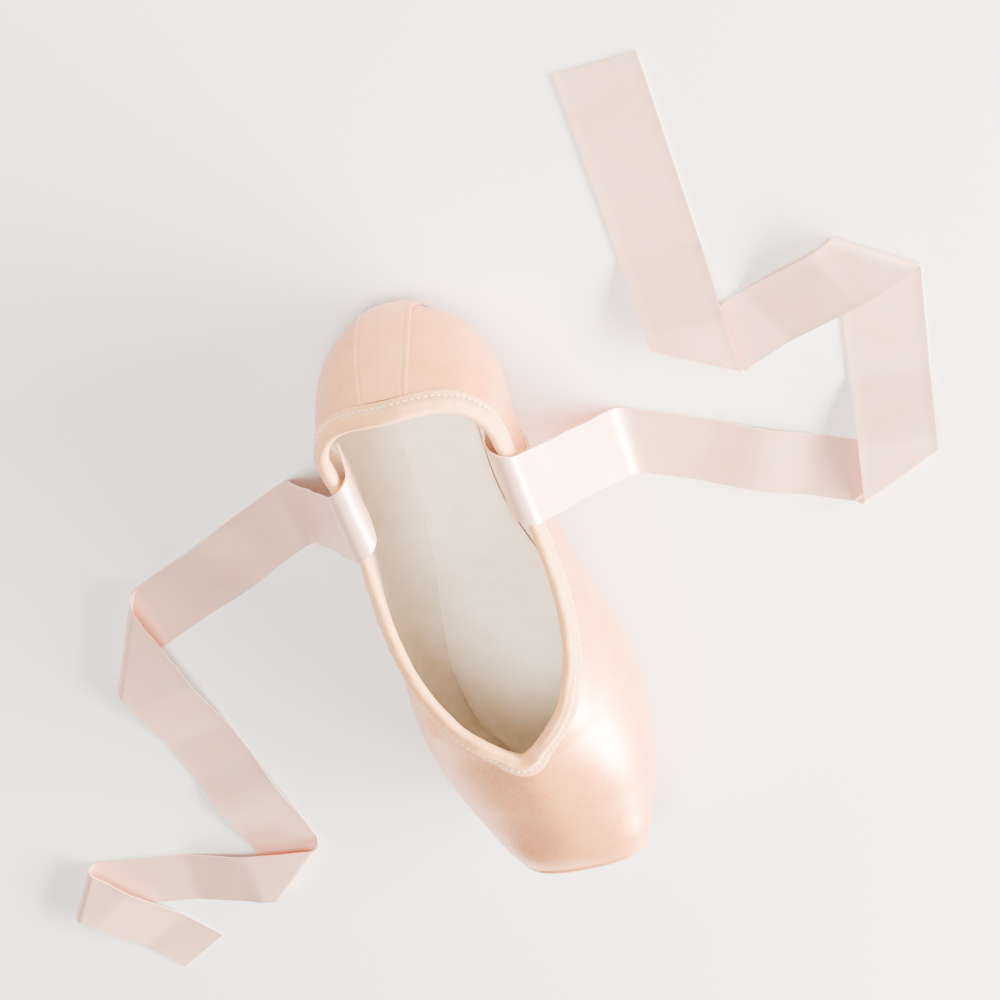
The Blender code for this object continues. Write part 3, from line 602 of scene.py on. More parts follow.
# Unbleached drill, whose yarns of about 0.4 mm are drawn 0.8 mm apart to show
cotton_drill = woven_cotton("cotton_drill", "#F6EFE2", "#E3D6C0", 0.8, 0.9)
grid, grid_facts = skin_grid(LINING_STEPS, LINING_ROWS, LASTED_MARGIN / 2)
lined, lined_facts, lined_faces, lined_corners, lined_first = both_sides(grid, grid_facts)
lined_normals = vertex_normals(lined, lined_faces)
walls = wall_at(lined_facts[lined_first][:, 0])[:, None]
lining_uv = np.stack([-lined_facts[:, 3] * lined_facts[:, 4], lined_facts[:, 0]], axis=1) / MM
lining = shell(
    "lining",
    lined - lined_normals * (SATIN_CLOTH + LINING_GAP),
    lined - lined_normals * walls,
    lined_faces,
    lined_corners,
    lining_uv,
    cotton_drill,
)
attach(lining, "root")


# Outsole
# A single thin piece of tan leather, skived at the edge and stuck on over the turned-in satin. Its
# front half is scored with a crosshatch for grip, and the waist and heel are plain.
SKIVE_FROM = 0.72
DIAMOND_WIDTH = 7 * MM
DIAMOND_LENGTH = 12 * MM
SCORE_WIDTH = 1.1 * MM
SCORE_DEPTH = 0.28 * MM
SCORED_TO = 134 * MM  # from the platform
SCORED_STEP = 0.45 * MM
PLAIN_STEP = 1.6 * MM
SOLE_ACROSS = 62
EDGE_SPREAD = 1.2  # radians of a sine that draws the rows of a grid together at its edges


def plan_rows(inset, fine, coarse, columns):
    """Rows of (x, y, share across) over the plan of the sole, finer over its front, moved in by inset."""
    half, places = sole_outline(inset)
    front, back = SOLE_TOE + inset, SHOE_LENGTH - SOLE_HEEL - inset
    tip = front + (1 - np.cos(np.linspace(0.03, math.pi / 2, 14))) * 3 * MM
    scored = np.arange(front + 3 * MM + fine, SCORED_TO + fine, fine)
    plain = np.linspace(SCORED_TO + fine, back, int((back - SCORED_TO) / coarse))[1:]
    along = np.concatenate([tip, scored, plain])
    across = np.sin(np.linspace(-1, 1, columns * 2 + 1) * EDGE_SPREAD) / math.sin(EDGE_SPREAD)
    reach = np.interp(along, places, half)
    x = reach[:, None] * across[None, :]
    y = np.repeat((along - BALL_ALONG)[:, None], len(across), axis=1)
    return x, y, np.repeat(np.abs(across)[None, :], len(along), axis=0)


def slab(name, x, y, low, high, finish, sharp=40):
    """A closed plate between two heights over a grid of plan places."""
    rows, columns = x.shape
    top = np.stack([x, y, high], axis=2).reshape(-1, 3)
    bottom = np.stack([x, y, low], axis=2).reshape(-1, 3)
    i, j = np.meshgrid(np.arange(rows - 1), np.arange(columns - 1), indexing="ij")
    a = (i * columns + j).ravel()
    quads = np.stack([a, a + 1, a + columns + 1, a + columns], axis=1)
    uv = np.stack([x, y], axis=2).reshape(-1, 2) / MM
    return shell(name, top, bottom, quads, quads, uv, finish, sharp)


def score_depth(x, y):
    """Depth of the crosshatch: crossed lines pressed in, which end in open points at the waist."""
    depth = np.zeros(x.shape)
    along = y + BALL_ALONG
    for way in (-1, 1):
        phase = x / DIAMOND_WIDTH + way * (SCORED_TO - along) / DIAMOND_LENGTH + 0.5
        slope = math.hypot(1 / DIAMOND_WIDTH, 1 / DIAMOND_LENGTH)
        away = np.abs(phase - np.round(phase)) / slope
        depth = np.maximum(depth, np.exp(-((away / (SCORE_WIDTH / 2)) ** 2)))
    return SCORE_DEPTH * depth * (1 - between(along, SCORED_TO - 0.4 * MM, SCORED_TO + 0.4 * MM))


def sole_hide(name):
    """Vegetable-tanned leather, its grain buffed off: matt tan, darker where scored and at its edge.

    The crosshatch is drawn here too, so that its lines stay crisp: how far each place is from a line.
    """
    made, tree, shader = new_material(name, IOR=1.5, Roughness=0.55)
    place = add(tree, "UVMap", {"uv_map": "UVMap"}).outputs[0]
    pores = add(tree, "TexVoronoi", {"Scale": 1.6}, {"Vector": place})
    patchy = {"Scale": 0.09, "Detail": 6.0, "Roughness": 0.65}
    cloud = add(tree, "TexNoise", patchy, {"Vector": place}).outputs[0]
    tans = ((0.30, "#B46F2C"), (0.50, "#C17B36"), (0.72, "#C98642"))
    colour = add(tree, "ValToRGB", {"stops": tans}, {"Fac": cloud}).outputs[0]
    parts = add(tree, "SeparateXYZ", {}, {0: place})
    wide, long = DIAMOND_WIDTH / MM, DIAMOND_LENGTH / MM
    middle = (SCORED_TO - BALL_ALONG) / MM
    down = add(tree, "Math", {"operation": "SUBTRACT", 0: middle}, {1: parts.outputs["Y"]}).outputs[0]
    away = []
    for way in (-1, 1):
        sloping = {"operation": "MULTIPLY_ADD", 1: way / long, 2: 0.5}
        shifted = add(tree, "Math", sloping, {0: down}).outputs[0]
        across = {"operation": "MULTIPLY_ADD", 1: 1 / wide}
        phase = add(tree, "Math", across, {0: parts.outputs["X"], 2: shifted}).outputs[0]
        away.append(add(tree, "Math", {"operation": "PINGPONG", 1: 0.5}, {0: phase}).outputs[0])
    nearest = add(tree, "Math", {"operation": "MINIMUM"}, {0: away[0], 1: away[1]}).outputs[0]
    half_line = SCORE_WIDTH / MM / 2 * math.hypot(1 / wide, 1 / long)
    soft_line = {"From Min": 0.35 * half_line, "From Max": half_line, "To Min": 1.0, "To Max": 0.0}
    soft_line["interpolation_type"] = "SMOOTHSTEP"
    line = add(tree, "MapRange", soft_line, {"Value": nearest}).outputs[0]
    kept = {}
    for value in ("scored", "rubbed", "stained", "edge"):
        kept[value] = add(tree, "Attribute", {"attribute_name": value}).outputs["Fac"]
    pressed = add(tree, "Math", {"operation": "MULTIPLY"}, {0: line, 1: kept["scored"]}).outputs[0]
    rubbed = add(tree, "Math", {"operation": "MULTIPLY", 1: 0.55}, {0: kept["rubbed"]}).outputs[0]
    layers = (
        (rubbed, "#CC8F60"),
        (kept["stained"], "#B5651A"),
        (pressed, "#8A4A16"),
        (kept["edge"], "#7A4312"),
    )
    for share, code in layers:
        layer = add(tree, "Mix", {"data_type": "RGBA"}, {0: share, "A": colour})
        layer.inputs["B"].default_value = linear(code)
        colour = layer.outputs["Result"]
    soft_grain = {"Strength": 0.6, "Distance": 0.05 * MM}
    relief = add(tree, "Bump", soft_grain, {"Height": pores.outputs["Distance"]})
    tree.links.new(colour, shader.inputs["Base Color"])
    tree.links.new(relief.outputs[0], shader.inputs["Normal"])
    return made


def keep_values(made, name, values):
    """Stores one value for each vertex under a name."""
    layer = made.data.attributes.new(name, "FLOAT", "POINT")
    layer.data.foreach_set("value", np.array(values, np.float32).ravel())


x, y, across = plan_rows(0.0, SCORED_STEP, PLAIN_STEP, SOLE_ACROSS)
sole_top = bottom_height(x, y) - CLEARANCE
thickness = SOLE_THICKNESS + (SOLE_EDGE - SOLE_THICKNESS) * between(across, SKIVE_FROM, 1)
scored = score_depth(x, y) * (1 - between(across, 0.93, 0.98))
outsole = slab("outsole_leather", x, y, sole_top - thickness + scored, sole_top, sole_hide("sole_leather"))
half, places = sole_outline(0.0)
from_edge = np.interp(y + BALL_ALONG, places, half) * (1 - across)
ends = np.minimum(y + BALL_ALONG - SOLE_TOE, SHOE_LENGTH - SOLE_HEEL - y - BALL_ALONG)
from_edge = np.minimum(from_edge, ends)
rim = 1 - between(from_edge, 0.25 * MM, 1.0 * MM) + 0.25 * (1 - between(from_edge, 0.5 * MM, 4 * MM))
hatched = 1 - between(y + BALL_ALONG, SCORED_TO - 0.3 * MM, SCORED_TO + 0.3 * MM)
hatched = hatched * between(from_edge, 0.3 * MM, 1.5 * MM)
keep_values(outsole, "edge", np.concatenate([np.clip(rim, 0, 1).ravel()] * 2))
keep_values(outsole, "scored", np.concatenate([hatched.ravel()] * 2))
along = y + BALL_ALONG
rubbed = (1 - between(along, SCORED_TO - 26 * MM, SCORED_TO + 4 * MM)) * between(from_edge, 1 * MM, 5 * MM)
keep_values(outsole, "rubbed", np.concatenate([rubbed.ravel()] * 2))
# Blotches along one side, and a faint darker band inside the edge all round
blotches = between(ripple(along / (8 * MM), 0.9), 0.5, 1.4)
blotches = blotches * np.exp(-((from_edge / (6 * MM)) ** 2)) * (x > 0)
band = np.exp(-(((from_edge - 1.8 * MM) / (1.1 * MM)) ** 2))
stained = np.maximum(0.5 * blotches, 0.3 * band)
keep_values(outsole, "stained", np.concatenate([stained.ravel()] * 2))
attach(outsole, "root")
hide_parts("outsole")


# Insole
# A leatherboard insole under a glued cotton sock, seen through the collar. The solid's filler below it,
# in the opening that the turned-in satin leaves, doesn't show and isn't drawn.
INSOLE_THICKNESS = 1.6 * MM
INSOLE_INSET = 3.6 * MM
INSOLE_CLEARANCE = 1.0 * MM


def seat(x, y):
    """Height of the insole's underside: the lining's inner face and a clearance."""
    slope_x = (bottom_height(x + MM, y) - bottom_height(x - MM, y)) / (2 * MM)
    slope_y = (bottom_height(x, y + MM) - bottom_height(x, y - MM)) / (2 * MM)
    steep = np.sqrt(1 + slope_x**2 + slope_y**2)
    return bottom_height(x, y) + (wall_at(y + BALL_ALONG) + INSOLE_CLEARANCE) * steep


x, y, across = plan_rows(INSOLE_INSET, 1.5 * MM, 2 * MM, 24)
under = seat(x, y)
over = under + INSOLE_THICKNESS * (1 - 0.45 * between(across, 0.93, 1.0))
# Plain off-white cotton, matt, whose fine yarns are drawn 0.7 mm apart to show
sock_cotton = woven_cotton("sock_cotton", "#F7F0E4", "#E8DCC8", 0.7, 0.95)
insole = slab("insole_sock", x, y, under, over, sock_cotton)
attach(insole, "root")
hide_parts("insole")


# Binding
# A bias tape folded over the edge of the upper, with the drawstring's channel along the fold. One row
# of lockstitch holds both its sides, close to the lower edge.
BINDING_DEPTH = 5.2 * MM
BINDING_INSIDE = 4 * MM
BINDING_CLOTH = 0.7 * MM
BINDING_LAP = 0.45 * MM  # between the wall and the tape
CHANNEL_RADIUS = 1.85 * MM
STITCH_DOWN = 3.1 * MM
BINDING_STEP = 0.55 * MM
POINT_DEPTH = 2.2 * MM  # more of the tape at the throat, where its edge comes to a point
POINT_RUN = 7 * MM


def collar_line():
    """Points at even steps along the right half of the collar, from the throat back, and their runs."""
    fine = THROAT_TIP + (SHOE_LENGTH - THROAT_TIP) * np.linspace(0, 1, 1600) ** 1.5
    line = []
    for along in fine:
        reach, height, run = section_curve(along)
        end = collar_mark(along, reach, height, run)
        r, z = float(np.interp(end, run, reach)), float(np.interp(end, run, height))
        turn = math.pi / 2 * max(0.0, along - HEEL_AXIS) / HEEL_DEPTH
        place = min(along, HEEL_AXIS) + r * math.sin(turn) * (along > HEEL_AXIS)
        line.append((r * math.cos(turn), place - BALL_ALONG, z))
    line = np.array(line)
    line[0, 0] = line[-1, 0] = 0.0
    run = np.concatenate([[0.0], np.cumsum(np.linalg.norm(np.diff(line, axis=0), axis=1))])
    count = int(run[-1] / BINDING_STEP)
    even = np.linspace(0, run[-1], count)
    return np.stack([np.interp(even, run, line[:, k]) for k in range(3)], axis=1), even


satin_face = BVHTree.FromPolygons([tuple(p) for p in satin_outside], face_tuples(skin_faces))
collar, collar_run = collar_line()
mirrored = collar[1:2] * (-1, 1, 1), collar[-2:-1] * (-1, 1, 1)
ends = np.concatenate([mirrored[0], collar, mirrored[1]])
collar_tangents = ends[2:] - ends[:-2]
collar_tangents /= np.linalg.norm(collar_tangents, axis=1)[:, None]
normals = []
for point, tangent in zip(collar, collar_tangents):
    normal = satin_face.find_nearest(Vector(point))[1]
    normals.append(np.array(normal) * (abs(point[0]) > 1e-9, 1, 1))
normals = np.array(normals)
SMOOTHING = 24
for _ in range(SMOOTHING):
    normals[1:-1] = (normals[:-2] + 2 * normals[1:-1] + normals[2:]) / 4
collar_frames = []
for point, tangent, normal, run in zip(collar, collar_tangents, normals, collar_run):
    point, tangent, normal = Vector(point), Vector(tangent), Vector(normal)
    normal = (normal - tangent * normal.dot(tangent)).normalized()
    collar_frames.append((point, tangent, normal, tangent.cross(normal).normalized(), run))


def binding_profile():
    """(way down from the edge, way out from the wall's outer face) round the folded tape."""
    middle, cloth, lap = -WALL / 2, BINDING_CLOTH, BINDING_LAP
    outer = [
        (BINDING_DEPTH, lap + 0.35 * cloth),
        (BINDING_DEPTH - 0.06 * MM, lap + 0.8 * cloth),
        (BINDING_DEPTH - 0.3 * MM, lap + 1.05 * cloth),
        (BINDING_DEPTH - 0.8 * MM, lap + 1.05 * cloth),
        (STITCH_DOWN + 0.45 * MM, lap + 0.95 * cloth),
        (STITCH_DOWN, lap + 0.55 * cloth),
        (STITCH_DOWN - 0.45 * MM, lap + 1.0 * cloth),
        (STITCH_DOWN - 1.0 * MM, lap + 1.45 * cloth),
        (1.3 * MM, lap + 1.7 * cloth),
        (0.6 * MM, lap + 1.75 * cloth),
    ]
    bead = []
    for degrees in range(0, 181, 15):
        a = math.radians(degrees)
        bead.append((-CHANNEL_RADIUS * math.sin(a), middle + CHANNEL_RADIUS * math.cos(a)))
    back = -WALL - lap
    inner = [
        (1.5 * MM, back - 1.4 * cloth),
        (BINDING_INSIDE - 1.2 * MM, back - 1.2 * cloth),
        (BINDING_INSIDE - 0.4 * MM, back - cloth),
        (BINDING_INSIDE, back - 0.4 * cloth),
        (BINDING_INSIDE - 0.2 * MM, back),
    ]
    slot = [(0.0, back), (0.0, lap), (BINDING_DEPTH / 2, lap), (BINDING_DEPTH - 0.2 * MM, lap)]
    return outer + bead + inner + slot


def off_collar(station, below, out):
    """The point that lies so far down from the collar's edge and out from the satin."""
    point, _, normal, down, run = station
    pointed = 1 + POINT_DEPTH / BINDING_DEPTH * max(0.0, 1 - run / POINT_RUN)
    spot = point + down * below * (pointed if below > 0 else 1.0)
    if below > 0:
        found = satin_face.find_nearest(spot)[0]
        spot = spot + normal * (found - spot).dot(normal)
    return spot + normal * out


def mirrored_loft(name, rings, runs, finish):
    """A closed skin over rings along the right half, carried round onto the left half."""
    count = len(rings[0])
    rings = np.array([[tuple(p) for p in ring] for ring in rings])
    middle_ring = rings[len(rings) // 2]
    girth = np.concatenate([[0.0], np.cumsum(np.linalg.norm(np.diff(middle_ring, axis=0), axis=1))])
    rings[0][:, 0] = rings[-1][:, 0] = 0.0
    left = rings[-2:0:-1] * (-1, 1, 1)
    points = np.concatenate([rings, left]).reshape(-1, 3)
    total = len(rings) + len(left)
    places = np.concatenate([runs, 2 * runs[-1] - runs[-2:0:-1], [2 * runs[-1]]])
    faces, uv = [], []
    for i in range(total):
        for j in range(count):
            k, n = (j + 1) % count, (i + 1) % total
            faces.append((i * count + j, n * count + j, n * count + k, i * count + k))
            g = girth[k] if k else girth[-1] + np.linalg.norm(rings[0][0] - rings[0][-1])
            uv += [(girth[j], places[i]), (girth[j], places[i + 1]), (g, places[i + 1]), (g, places[i])]
    return mesh_piece(name, points, faces, np.array(uv) / MM, finish)


# The lockstitch pulls the tape in at each stitch
STITCH_PITCH = 2.1 * MM
STITCH_LENGTH = 1.55 * MM
THREAD = 0.6 * MM
binding_rings = []
for station, run in zip(collar_frames, collar_run):
    pull = 0.10 * MM * float(ripple(run / (2.3 * MM), 0.7))
    pinch = 0.16 * MM * math.cos(2 * math.pi * run / STITCH_PITCH)
    ring = []
    for below, out in binding_profile():
        loose = 1.0 if -CHANNEL_RADIUS <= below < STITCH_DOWN and out > 0 else 0.4
        near = max(0.0, 1 - abs(below - STITCH_DOWN) / (1.2 * MM)) if out > BINDING_LAP + 0.1 * MM else 0.0
        pulled = pull * loose * (1 if out > 0 else -1) - pinch * near
        ring.append(off_collar(station, below, out + pulled))
    binding_rings.append(ring)
# Dyed cotton bias tape, finer and smoother than the lining, whose yarns are drawn 0.55 mm apart to show
tape_cotton = woven_cotton("tape_cotton", "#F1B67F", "#E6A467", 0.55, 0.5)
binding = mirrored_loft("binding_tape", binding_rings, collar_run, tape_cotton)
binding.data.set_sharp_from_angle(angle=math.radians(60))
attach(binding, "root")
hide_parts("binding")


def stitch_shape(sides=8, rings=7):
    """A unit stitch along x, thicker in the middle and sunk at its ends: points and faces."""
    sunk = 0.35
    points, faces = [(-0.5, 0.0, -sunk)], []
    for i in range(1, rings - 1):
        t = -1 + 2 * i / (rings - 1)
        size = math.sqrt(1 - t * t) ** 0.5
        for k in range(sides):
            a = 2 * math.pi * k / sides
            points.append((t / 2, size * math.cos(a) / 2, size * math.sin(a) / 2 - sunk * t * t))
    points.append((0.5, 0.0, -sunk))
    last = 1 + (rings - 3) * sides
    for k in range(sides):
        n = (k + 1) % sides
        faces.append((0, 1 + n, 1 + k))
        for ring in range(1, last, sides):
            faces.append((ring + k, ring + n, ring + sides + n, ring + sides + k))
        faces.append((last + k, last + n, len(points) - 1))
    return np.array(points), faces


def stitch_row(name, places, finish, length=STITCH_LENGTH, thread=THREAD):
    """Stitches joined in one mesh, each at (point, way it runs, way out of the cloth)."""
    unit, faces = stitch_shape()
    points, all_faces, uv = [], [], []
    for spot, way, out in places:
        way, out = Vector(way).normalized(), Vector(out).normalized()
        turn = np.array([way, out.cross(way), out])
        base = len(points) * len(unit)
        points.append((unit * (length, thread, thread)) @ turn + np.array(spot))
        for face in faces:
            all_faces.append([base + v for v in face])
            uv += [(unit[v][0] * length / MM, unit[v][1]) for v in face]
    made = mesh_piece(name, np.concatenate(points), all_faces, uv, finish)
    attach(made, "root")
    return made


def along_line(points, pitch):
    """Places at even steps along a line of points: (index before, share to the next)."""
    run = np.concatenate([[0.0], np.cumsum(np.linalg.norm(np.diff(points, axis=0), axis=1))])
    marks = np.arange(pitch / 2, run[-1], pitch)
    at = np.interp(marks, run, np.arange(len(points)))
    return [(int(a), a - int(a)) for a in at]


def thread_finish(name, light, deep):
    """Spun polyester sewing thread: a little bright, with its twist as slanting ridges."""
    made, tree, shader = new_material(name, IOR=1.54, Roughness=0.5)
    place = add(tree, "UVMap", {"uv_map": "UVMap"}).outputs[0]
    slanting = {"bands_direction": "DIAGONAL", "Scale": 1.2, "Distortion": 0.3}
    twist = add(tree, "TexWave", slanting, {"Vector": place}).outputs["Fac"]
    relief = add(tree, "Bump", {"Distance": 0.05 * MM}, {"Height": twist})
    colour = add(tree, "ValToRGB", {"stops": ((0.2, deep), (0.8, light))}, {"Fac": twist})
    tree.links.new(colour.outputs[0], shader.inputs["Base Color"])
    tree.links.new(relief.outputs[0], shader.inputs["Normal"])
    return made


pale_thread = thread_finish("pale_thread", "#FFF6EA", "#EAD6BE")
seam = [off_collar(f, STITCH_DOWN, BINDING_LAP + 1.05 * BINDING_CLOTH) for f in collar_frames]
seam_points = np.array([tuple(p) for p in seam])
places = []
for k, share in along_line(seam_points, STITCH_PITCH):
    spot = seam[k].lerp(seam[min(k + 1, len(seam) - 1)], share)
    way, out = collar_frames[k][1], collar_frames[k][2]
    places.append((spot, way, out))
    places.append([Vector((-v.x, v.y, v.z)) for v in (spot, way, out)])
binding_stitches = stitch_row("binding_stitches", places, pale_thread)


# Strips over the seams
# A satin strip covers the back seam, and a narrow stitched tape each side seam. They run from the
# outsole's edge up under the binding.
STRIP_THICKNESS = 0.7 * MM
HEEL_STRIP_WIDTH = 18 * MM
SEAM_TAPE_WIDTH = 5.5 * MM
SEAM_FROM_BACK = 61 * MM
SIDE_SEAM_ALONG = SHOE_LENGTH - SEAM_FROM_BACK
HEEL_FOLD = 1.9 * MM  # turned-in edge of the heel strip


def quarter_point(along, share, side):
    """Point and outward normal of the satin at a place along and a share of the way to the binding."""
    reach, height, run = section_curve(along)
    lower = np.arange(len(run)) <= np.argmax(reach)
    edge = float(np.interp(outline_reach(along, 0.0) + 2 * CLEARANCE, reach[lower], run[lower]))
    end = float(np.interp(collar_height(along), height[~lower], run[~lower])) - BINDING_DEPTH - CLEARANCE
    mark = edge + (end - edge) * share
    r, z = float(np.interp(mark, run, reach)), float(np.interp(mark, run, height))
    turn = math.pi / 2 * max(0.0, along - HEEL_AXIS) / HEEL_DEPTH
    y = min(along, HEEL_AXIS) + (r * math.sin(turn) if along > HEEL_AXIS else 0.0)
    found, normal, _, _ = satin_face.find_nearest(Vector((side * r * math.cos(turn), y - BALL_ALONG, z)))
    return found, normal


def strip_piece(name, half_at, place_of, rows, columns, finish, fold=None):
    """A strip of cloth laid up the satin: the piece, and its grid of points and outward normals.

    half_at gives its half width at a share of its height and place_of the place that a way across has;
    fold is how far in from each edge the turned-in cloth ends, which shows as a shallow groove.
    """
    grid_points, grid_out, top, bottom, uv = [], [], [], [], []
    for i in range(rows):
        share = i / (rows - 1)
        line, outs = [], []
        for j in range(columns):
            c = math.sin((-1 + 2 * j / (columns - 1)) * EDGE_SPREAD) / math.sin(EDGE_SPREAD)
            along, side = place_of(c * half_at(share))
            spot, out = quarter_point(along, share, side)
            inward = half_at(share) * (1 - abs(c))
            lift = CLEARANCE + STRIP_THICKNESS * (0.25 + 0.75 * min(1.0, inward / (0.5 * MM)) ** 0.5)
            if fold:
                lift -= 0.3 * MM * math.exp(-(((inward - fold) / (0.4 * MM)) ** 2))
                lift += 0.15 * MM * math.exp(-(((inward - fold / 2) / (fold / 3)) ** 2))
            line.append(spot)
            outs.append(out)
            top.append(tuple(spot + out * lift))
            bottom.append(tuple(spot + out * CLEARANCE * 0.3))
            uv.append((c * half_at(share) / MM, share * HEEL_HEIGHT / MM))
        grid_points.append(line)
        grid_out.append(outs)
    a = (np.arange(rows - 1)[:, None] * columns + np.arange(columns - 1)[None, :]).ravel()
    quads = np.stack([a, a + 1, a + columns + 1, a + columns], axis=1)
    across = Vector(top[columns + 1]) - Vector(top[columns])
    up = Vector(top[2 * columns]) - Vector(top[columns])
    if across.cross(up).dot(grid_out[1][0]) < 0:
        quads = quads[:, ::-1]
    made = shell(name, np.array(top), np.array(bottom), quads, quads, np.array(uv), finish, 50)
    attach(made, "root")
    return made, grid_points, grid_out


def over_the_back(across):
    """The heel strip's place across the back seam: (along, side)."""
    turn = math.asin(min(1.0, abs(across) / HEEL_DEPTH)) / (math.pi / 2)
    return SHOE_LENGTH - HEEL_DEPTH * turn, (1.0 if across >= 0 else -1.0)


def heel_strip_half(share):
    """Half width of the heel strip, which spreads at its lower end, where it is drawn under the leather."""
    return HEEL_STRIP_WIDTH / 2 + 3 * MM * float(1 - between(share, 0.0, 0.28))


# The same woven satin, a little lighter where it lies double
strip_satin = satin("strip_satin", "#F2AD7D", "#EB9F6C", 0.25, 0.3, 0.5)
heel_strip, _, _ = strip_piece(
    "heel_strip_satin", heel_strip_half, over_the_back, 60, 71, strip_satin, HEEL_FOLD
)
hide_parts("heel_strip")


def sewn_rows(points, outs, columns, pitch, lift):
    """Places for zigzag stitches down chosen columns of a strip's grid, each leaning the other way."""
    found = []
    for j in columns:
        line = [row[j] for row in points]
        arr = np.array([tuple(p) for p in line])
        for n, (k, share) in enumerate(along_line(arr, pitch)):
            k1 = min(k + 1, len(line) - 1)
            out = outs[k][j]
            way = (line[k1] - line[k]).normalized()
            way = way + out.cross(way) * (0.75 if n % 2 else -0.75)
            found.append((line[k].lerp(line[k1], share) + out * lift, way, out))
    return found


for side_name, side in (("right", 1.0), ("left", -1.0)):
    tape, tape_line, tape_out = strip_piece(
        f"side_tape_{side_name}",
        lambda share: SEAM_TAPE_WIDTH / 2,
        lambda across, side=side: (SIDE_SEAM_ALONG + across, side),
        44,
        19,
        strip_satin,
    )
    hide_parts(f"seam_tape_{side_name}")
    rows_here = sewn_rows(tape_line, tape_out, (3, 9, 15), 1.25 * MM, CLEARANCE + STRIP_THICKNESS)
    sewn = stitch_row(f"side_stitches_{side_name}", rows_here, pale_thread, 2.0 * MM, 0.75 * MM)


# Ribbons
# Two satin ribbons with a woven selvedge, sewn inside each quarter. They come over the binding and lie
# on the floor, folded over here and there as they fell.
RIBBON_WIDTH = 25 * MM
RIBBON_THICKNESS = 0.6 * MM
RIBBON_LENGTH = 450 * MM
RIBBON_FROM_BACK = 50 * MM
RIBBON_INSIDE = 16 * MM
RIBBON_OVER = 4.4 * MM
RIBBON_SLANT = math.radians(28)
RIBBON_FALL = math.radians(161)
LANDING_RADIUS = 9 * MM
FOLD_RADIUS = 2.4 * MM
SETTLE_TURN = math.radians(11)
SETTLE_RADIUS = 18 * MM
WAVE_TURN = math.radians(7)
WAVE_RADIUS = 55 * MM
WAVE_RUN = 7 * MM
HINGE_STEP = math.radians(5)
RIBBON_STEP = 1.6 * MM
RIBBON_ACROSS = 14
SELVEDGE_SPREAD = 0.85  # of a quarter turn of a sine that draws the columns together at the selvedges
# kind of bend, mm of flat ribbon since the last one, degrees that its line is off square
RIGHT_LAY = (("wave", 14, 6), ("fold", 12, -35), ("fold", 36, 30), ("fold", 12, 34))
LEFT_LAY = (("wave", 6, -5), ("fold", 4, 53), ("wave", 12, 8), ("fold", 10, 36), ("fold", 32, 24))


def bend_length(skew, turn, radius):
    """Flat length that a bend takes up along the ribbon's middle."""
    return radius * abs(turn) / math.cos(skew)


def bend_end(bend):
    return bend[0] + bend_length(*bend[1:])


def folded_strip(start, bends):
    """Pairs of edge points of a strip folded at each bend, their flat places, and the frame at its end."""
    place = start.copy()
    pairs, flats = [], []

    def pair(at, skew):
        lean = math.tan(skew) * RIBBON_WIDTH / 2
        left = place @ Vector((at + lean, RIBBON_WIDTH / 2, 0))
        right = place @ Vector((at - lean, -RIBBON_WIDTH / 2, 0))
        pairs.append((left, right))
        flats.append((at + lean, at - lean))

    pair(0.0, 0.0)
    for at, skew, turn, radius in bends:
        count = max(2, math.ceil(abs(turn) / HINGE_STEP))
        length = bend_length(skew, turn, radius)
        for k in range(count):
            here = at + length * (k + 0.5) / count
            if here > RIBBON_LENGTH - RIBBON_WIDTH / 2:
                break
            pair(here, skew)
            centre = place @ Vector((here, 0, 0))
            axis = place.to_3x3() @ Vector((math.sin(skew), math.cos(skew), 0))
            turned = Matrix.Rotation(-turn / count, 4, axis.normalized())
            place = Matrix.Translation(centre) @ turned @ Matrix.Translation(-centre) @ place
    pair(RIBBON_LENGTH, 0.0)
    return pairs, flats, place


def line_skew(place, line):
    """Skew at which a bend's line runs along a given direction in the strip's plane."""
    turn = place.to_3x3()
    along, across = line.dot(turn @ Vector((1, 0, 0))), line.dot(turn @ Vector((0, 1, 0)))
    return math.atan2(along, across) if across > 0 else math.atan2(-along, -across)


def over_the_collar():
    """The strip's first frame, inside the right quarter, and its bend over the binding."""
    place = SHOE_LENGTH - RIBBON_FROM_BACK - BALL_ALONG
    point, tangent, normal, down, _ = min(collar_frames, key=lambda f: abs(f[0].y - place))
    heading = (-down * math.cos(RIBBON_SLANT) - tangent * math.sin(RIBBON_SLANT)).normalized()
    across = normal.cross(heading)
    start = point - normal * (WALL / 2 + RIBBON_OVER) - heading * RIBBON_INSIDE
    first = Matrix.Identity(4)
    for k, axis in enumerate((heading, across, heading.cross(across), start)):
        first.col[k][:3] = axis
    turn = RIBBON_FALL if heading.cross(across).dot(normal) > 0 else -RIBBON_FALL
    return first, (RIBBON_INSIDE, line_skew(first, tangent), turn, RIBBON_OVER)


def landing(start, over):
    """The bend that lays the hanging strip on the floor, and which of its faces is then up."""
    at = bend_end(over)
    place = folded_strip(start, [over])[2]
    facing = place.to_3x3() @ Vector((0, 0, 1))
    up = Vector((0, 0, math.copysign(1, facing.z)))
    skew, size = line_skew(place, facing.cross(up)), facing.angle(up)

    def laid(turn):
        return folded_strip(start, [over, (at, skew, turn, LANDING_RADIUS)])[2]

    turn = max((size, -size), key=lambda t: abs((laid(t).to_3x3() @ Vector((0, 0, 1))).z))
    end = at + bend_length(skew, turn, LANDING_RADIUS)
    height = (laid(turn) @ Vector((end, 0, 0))).z - RIBBON_THICKNESS / 2
    fall = -(place.to_3x3() @ Vector((1, 0, 0))).z
    return (at + height / fall, skew, turn, LANDING_RADIUS), up.z


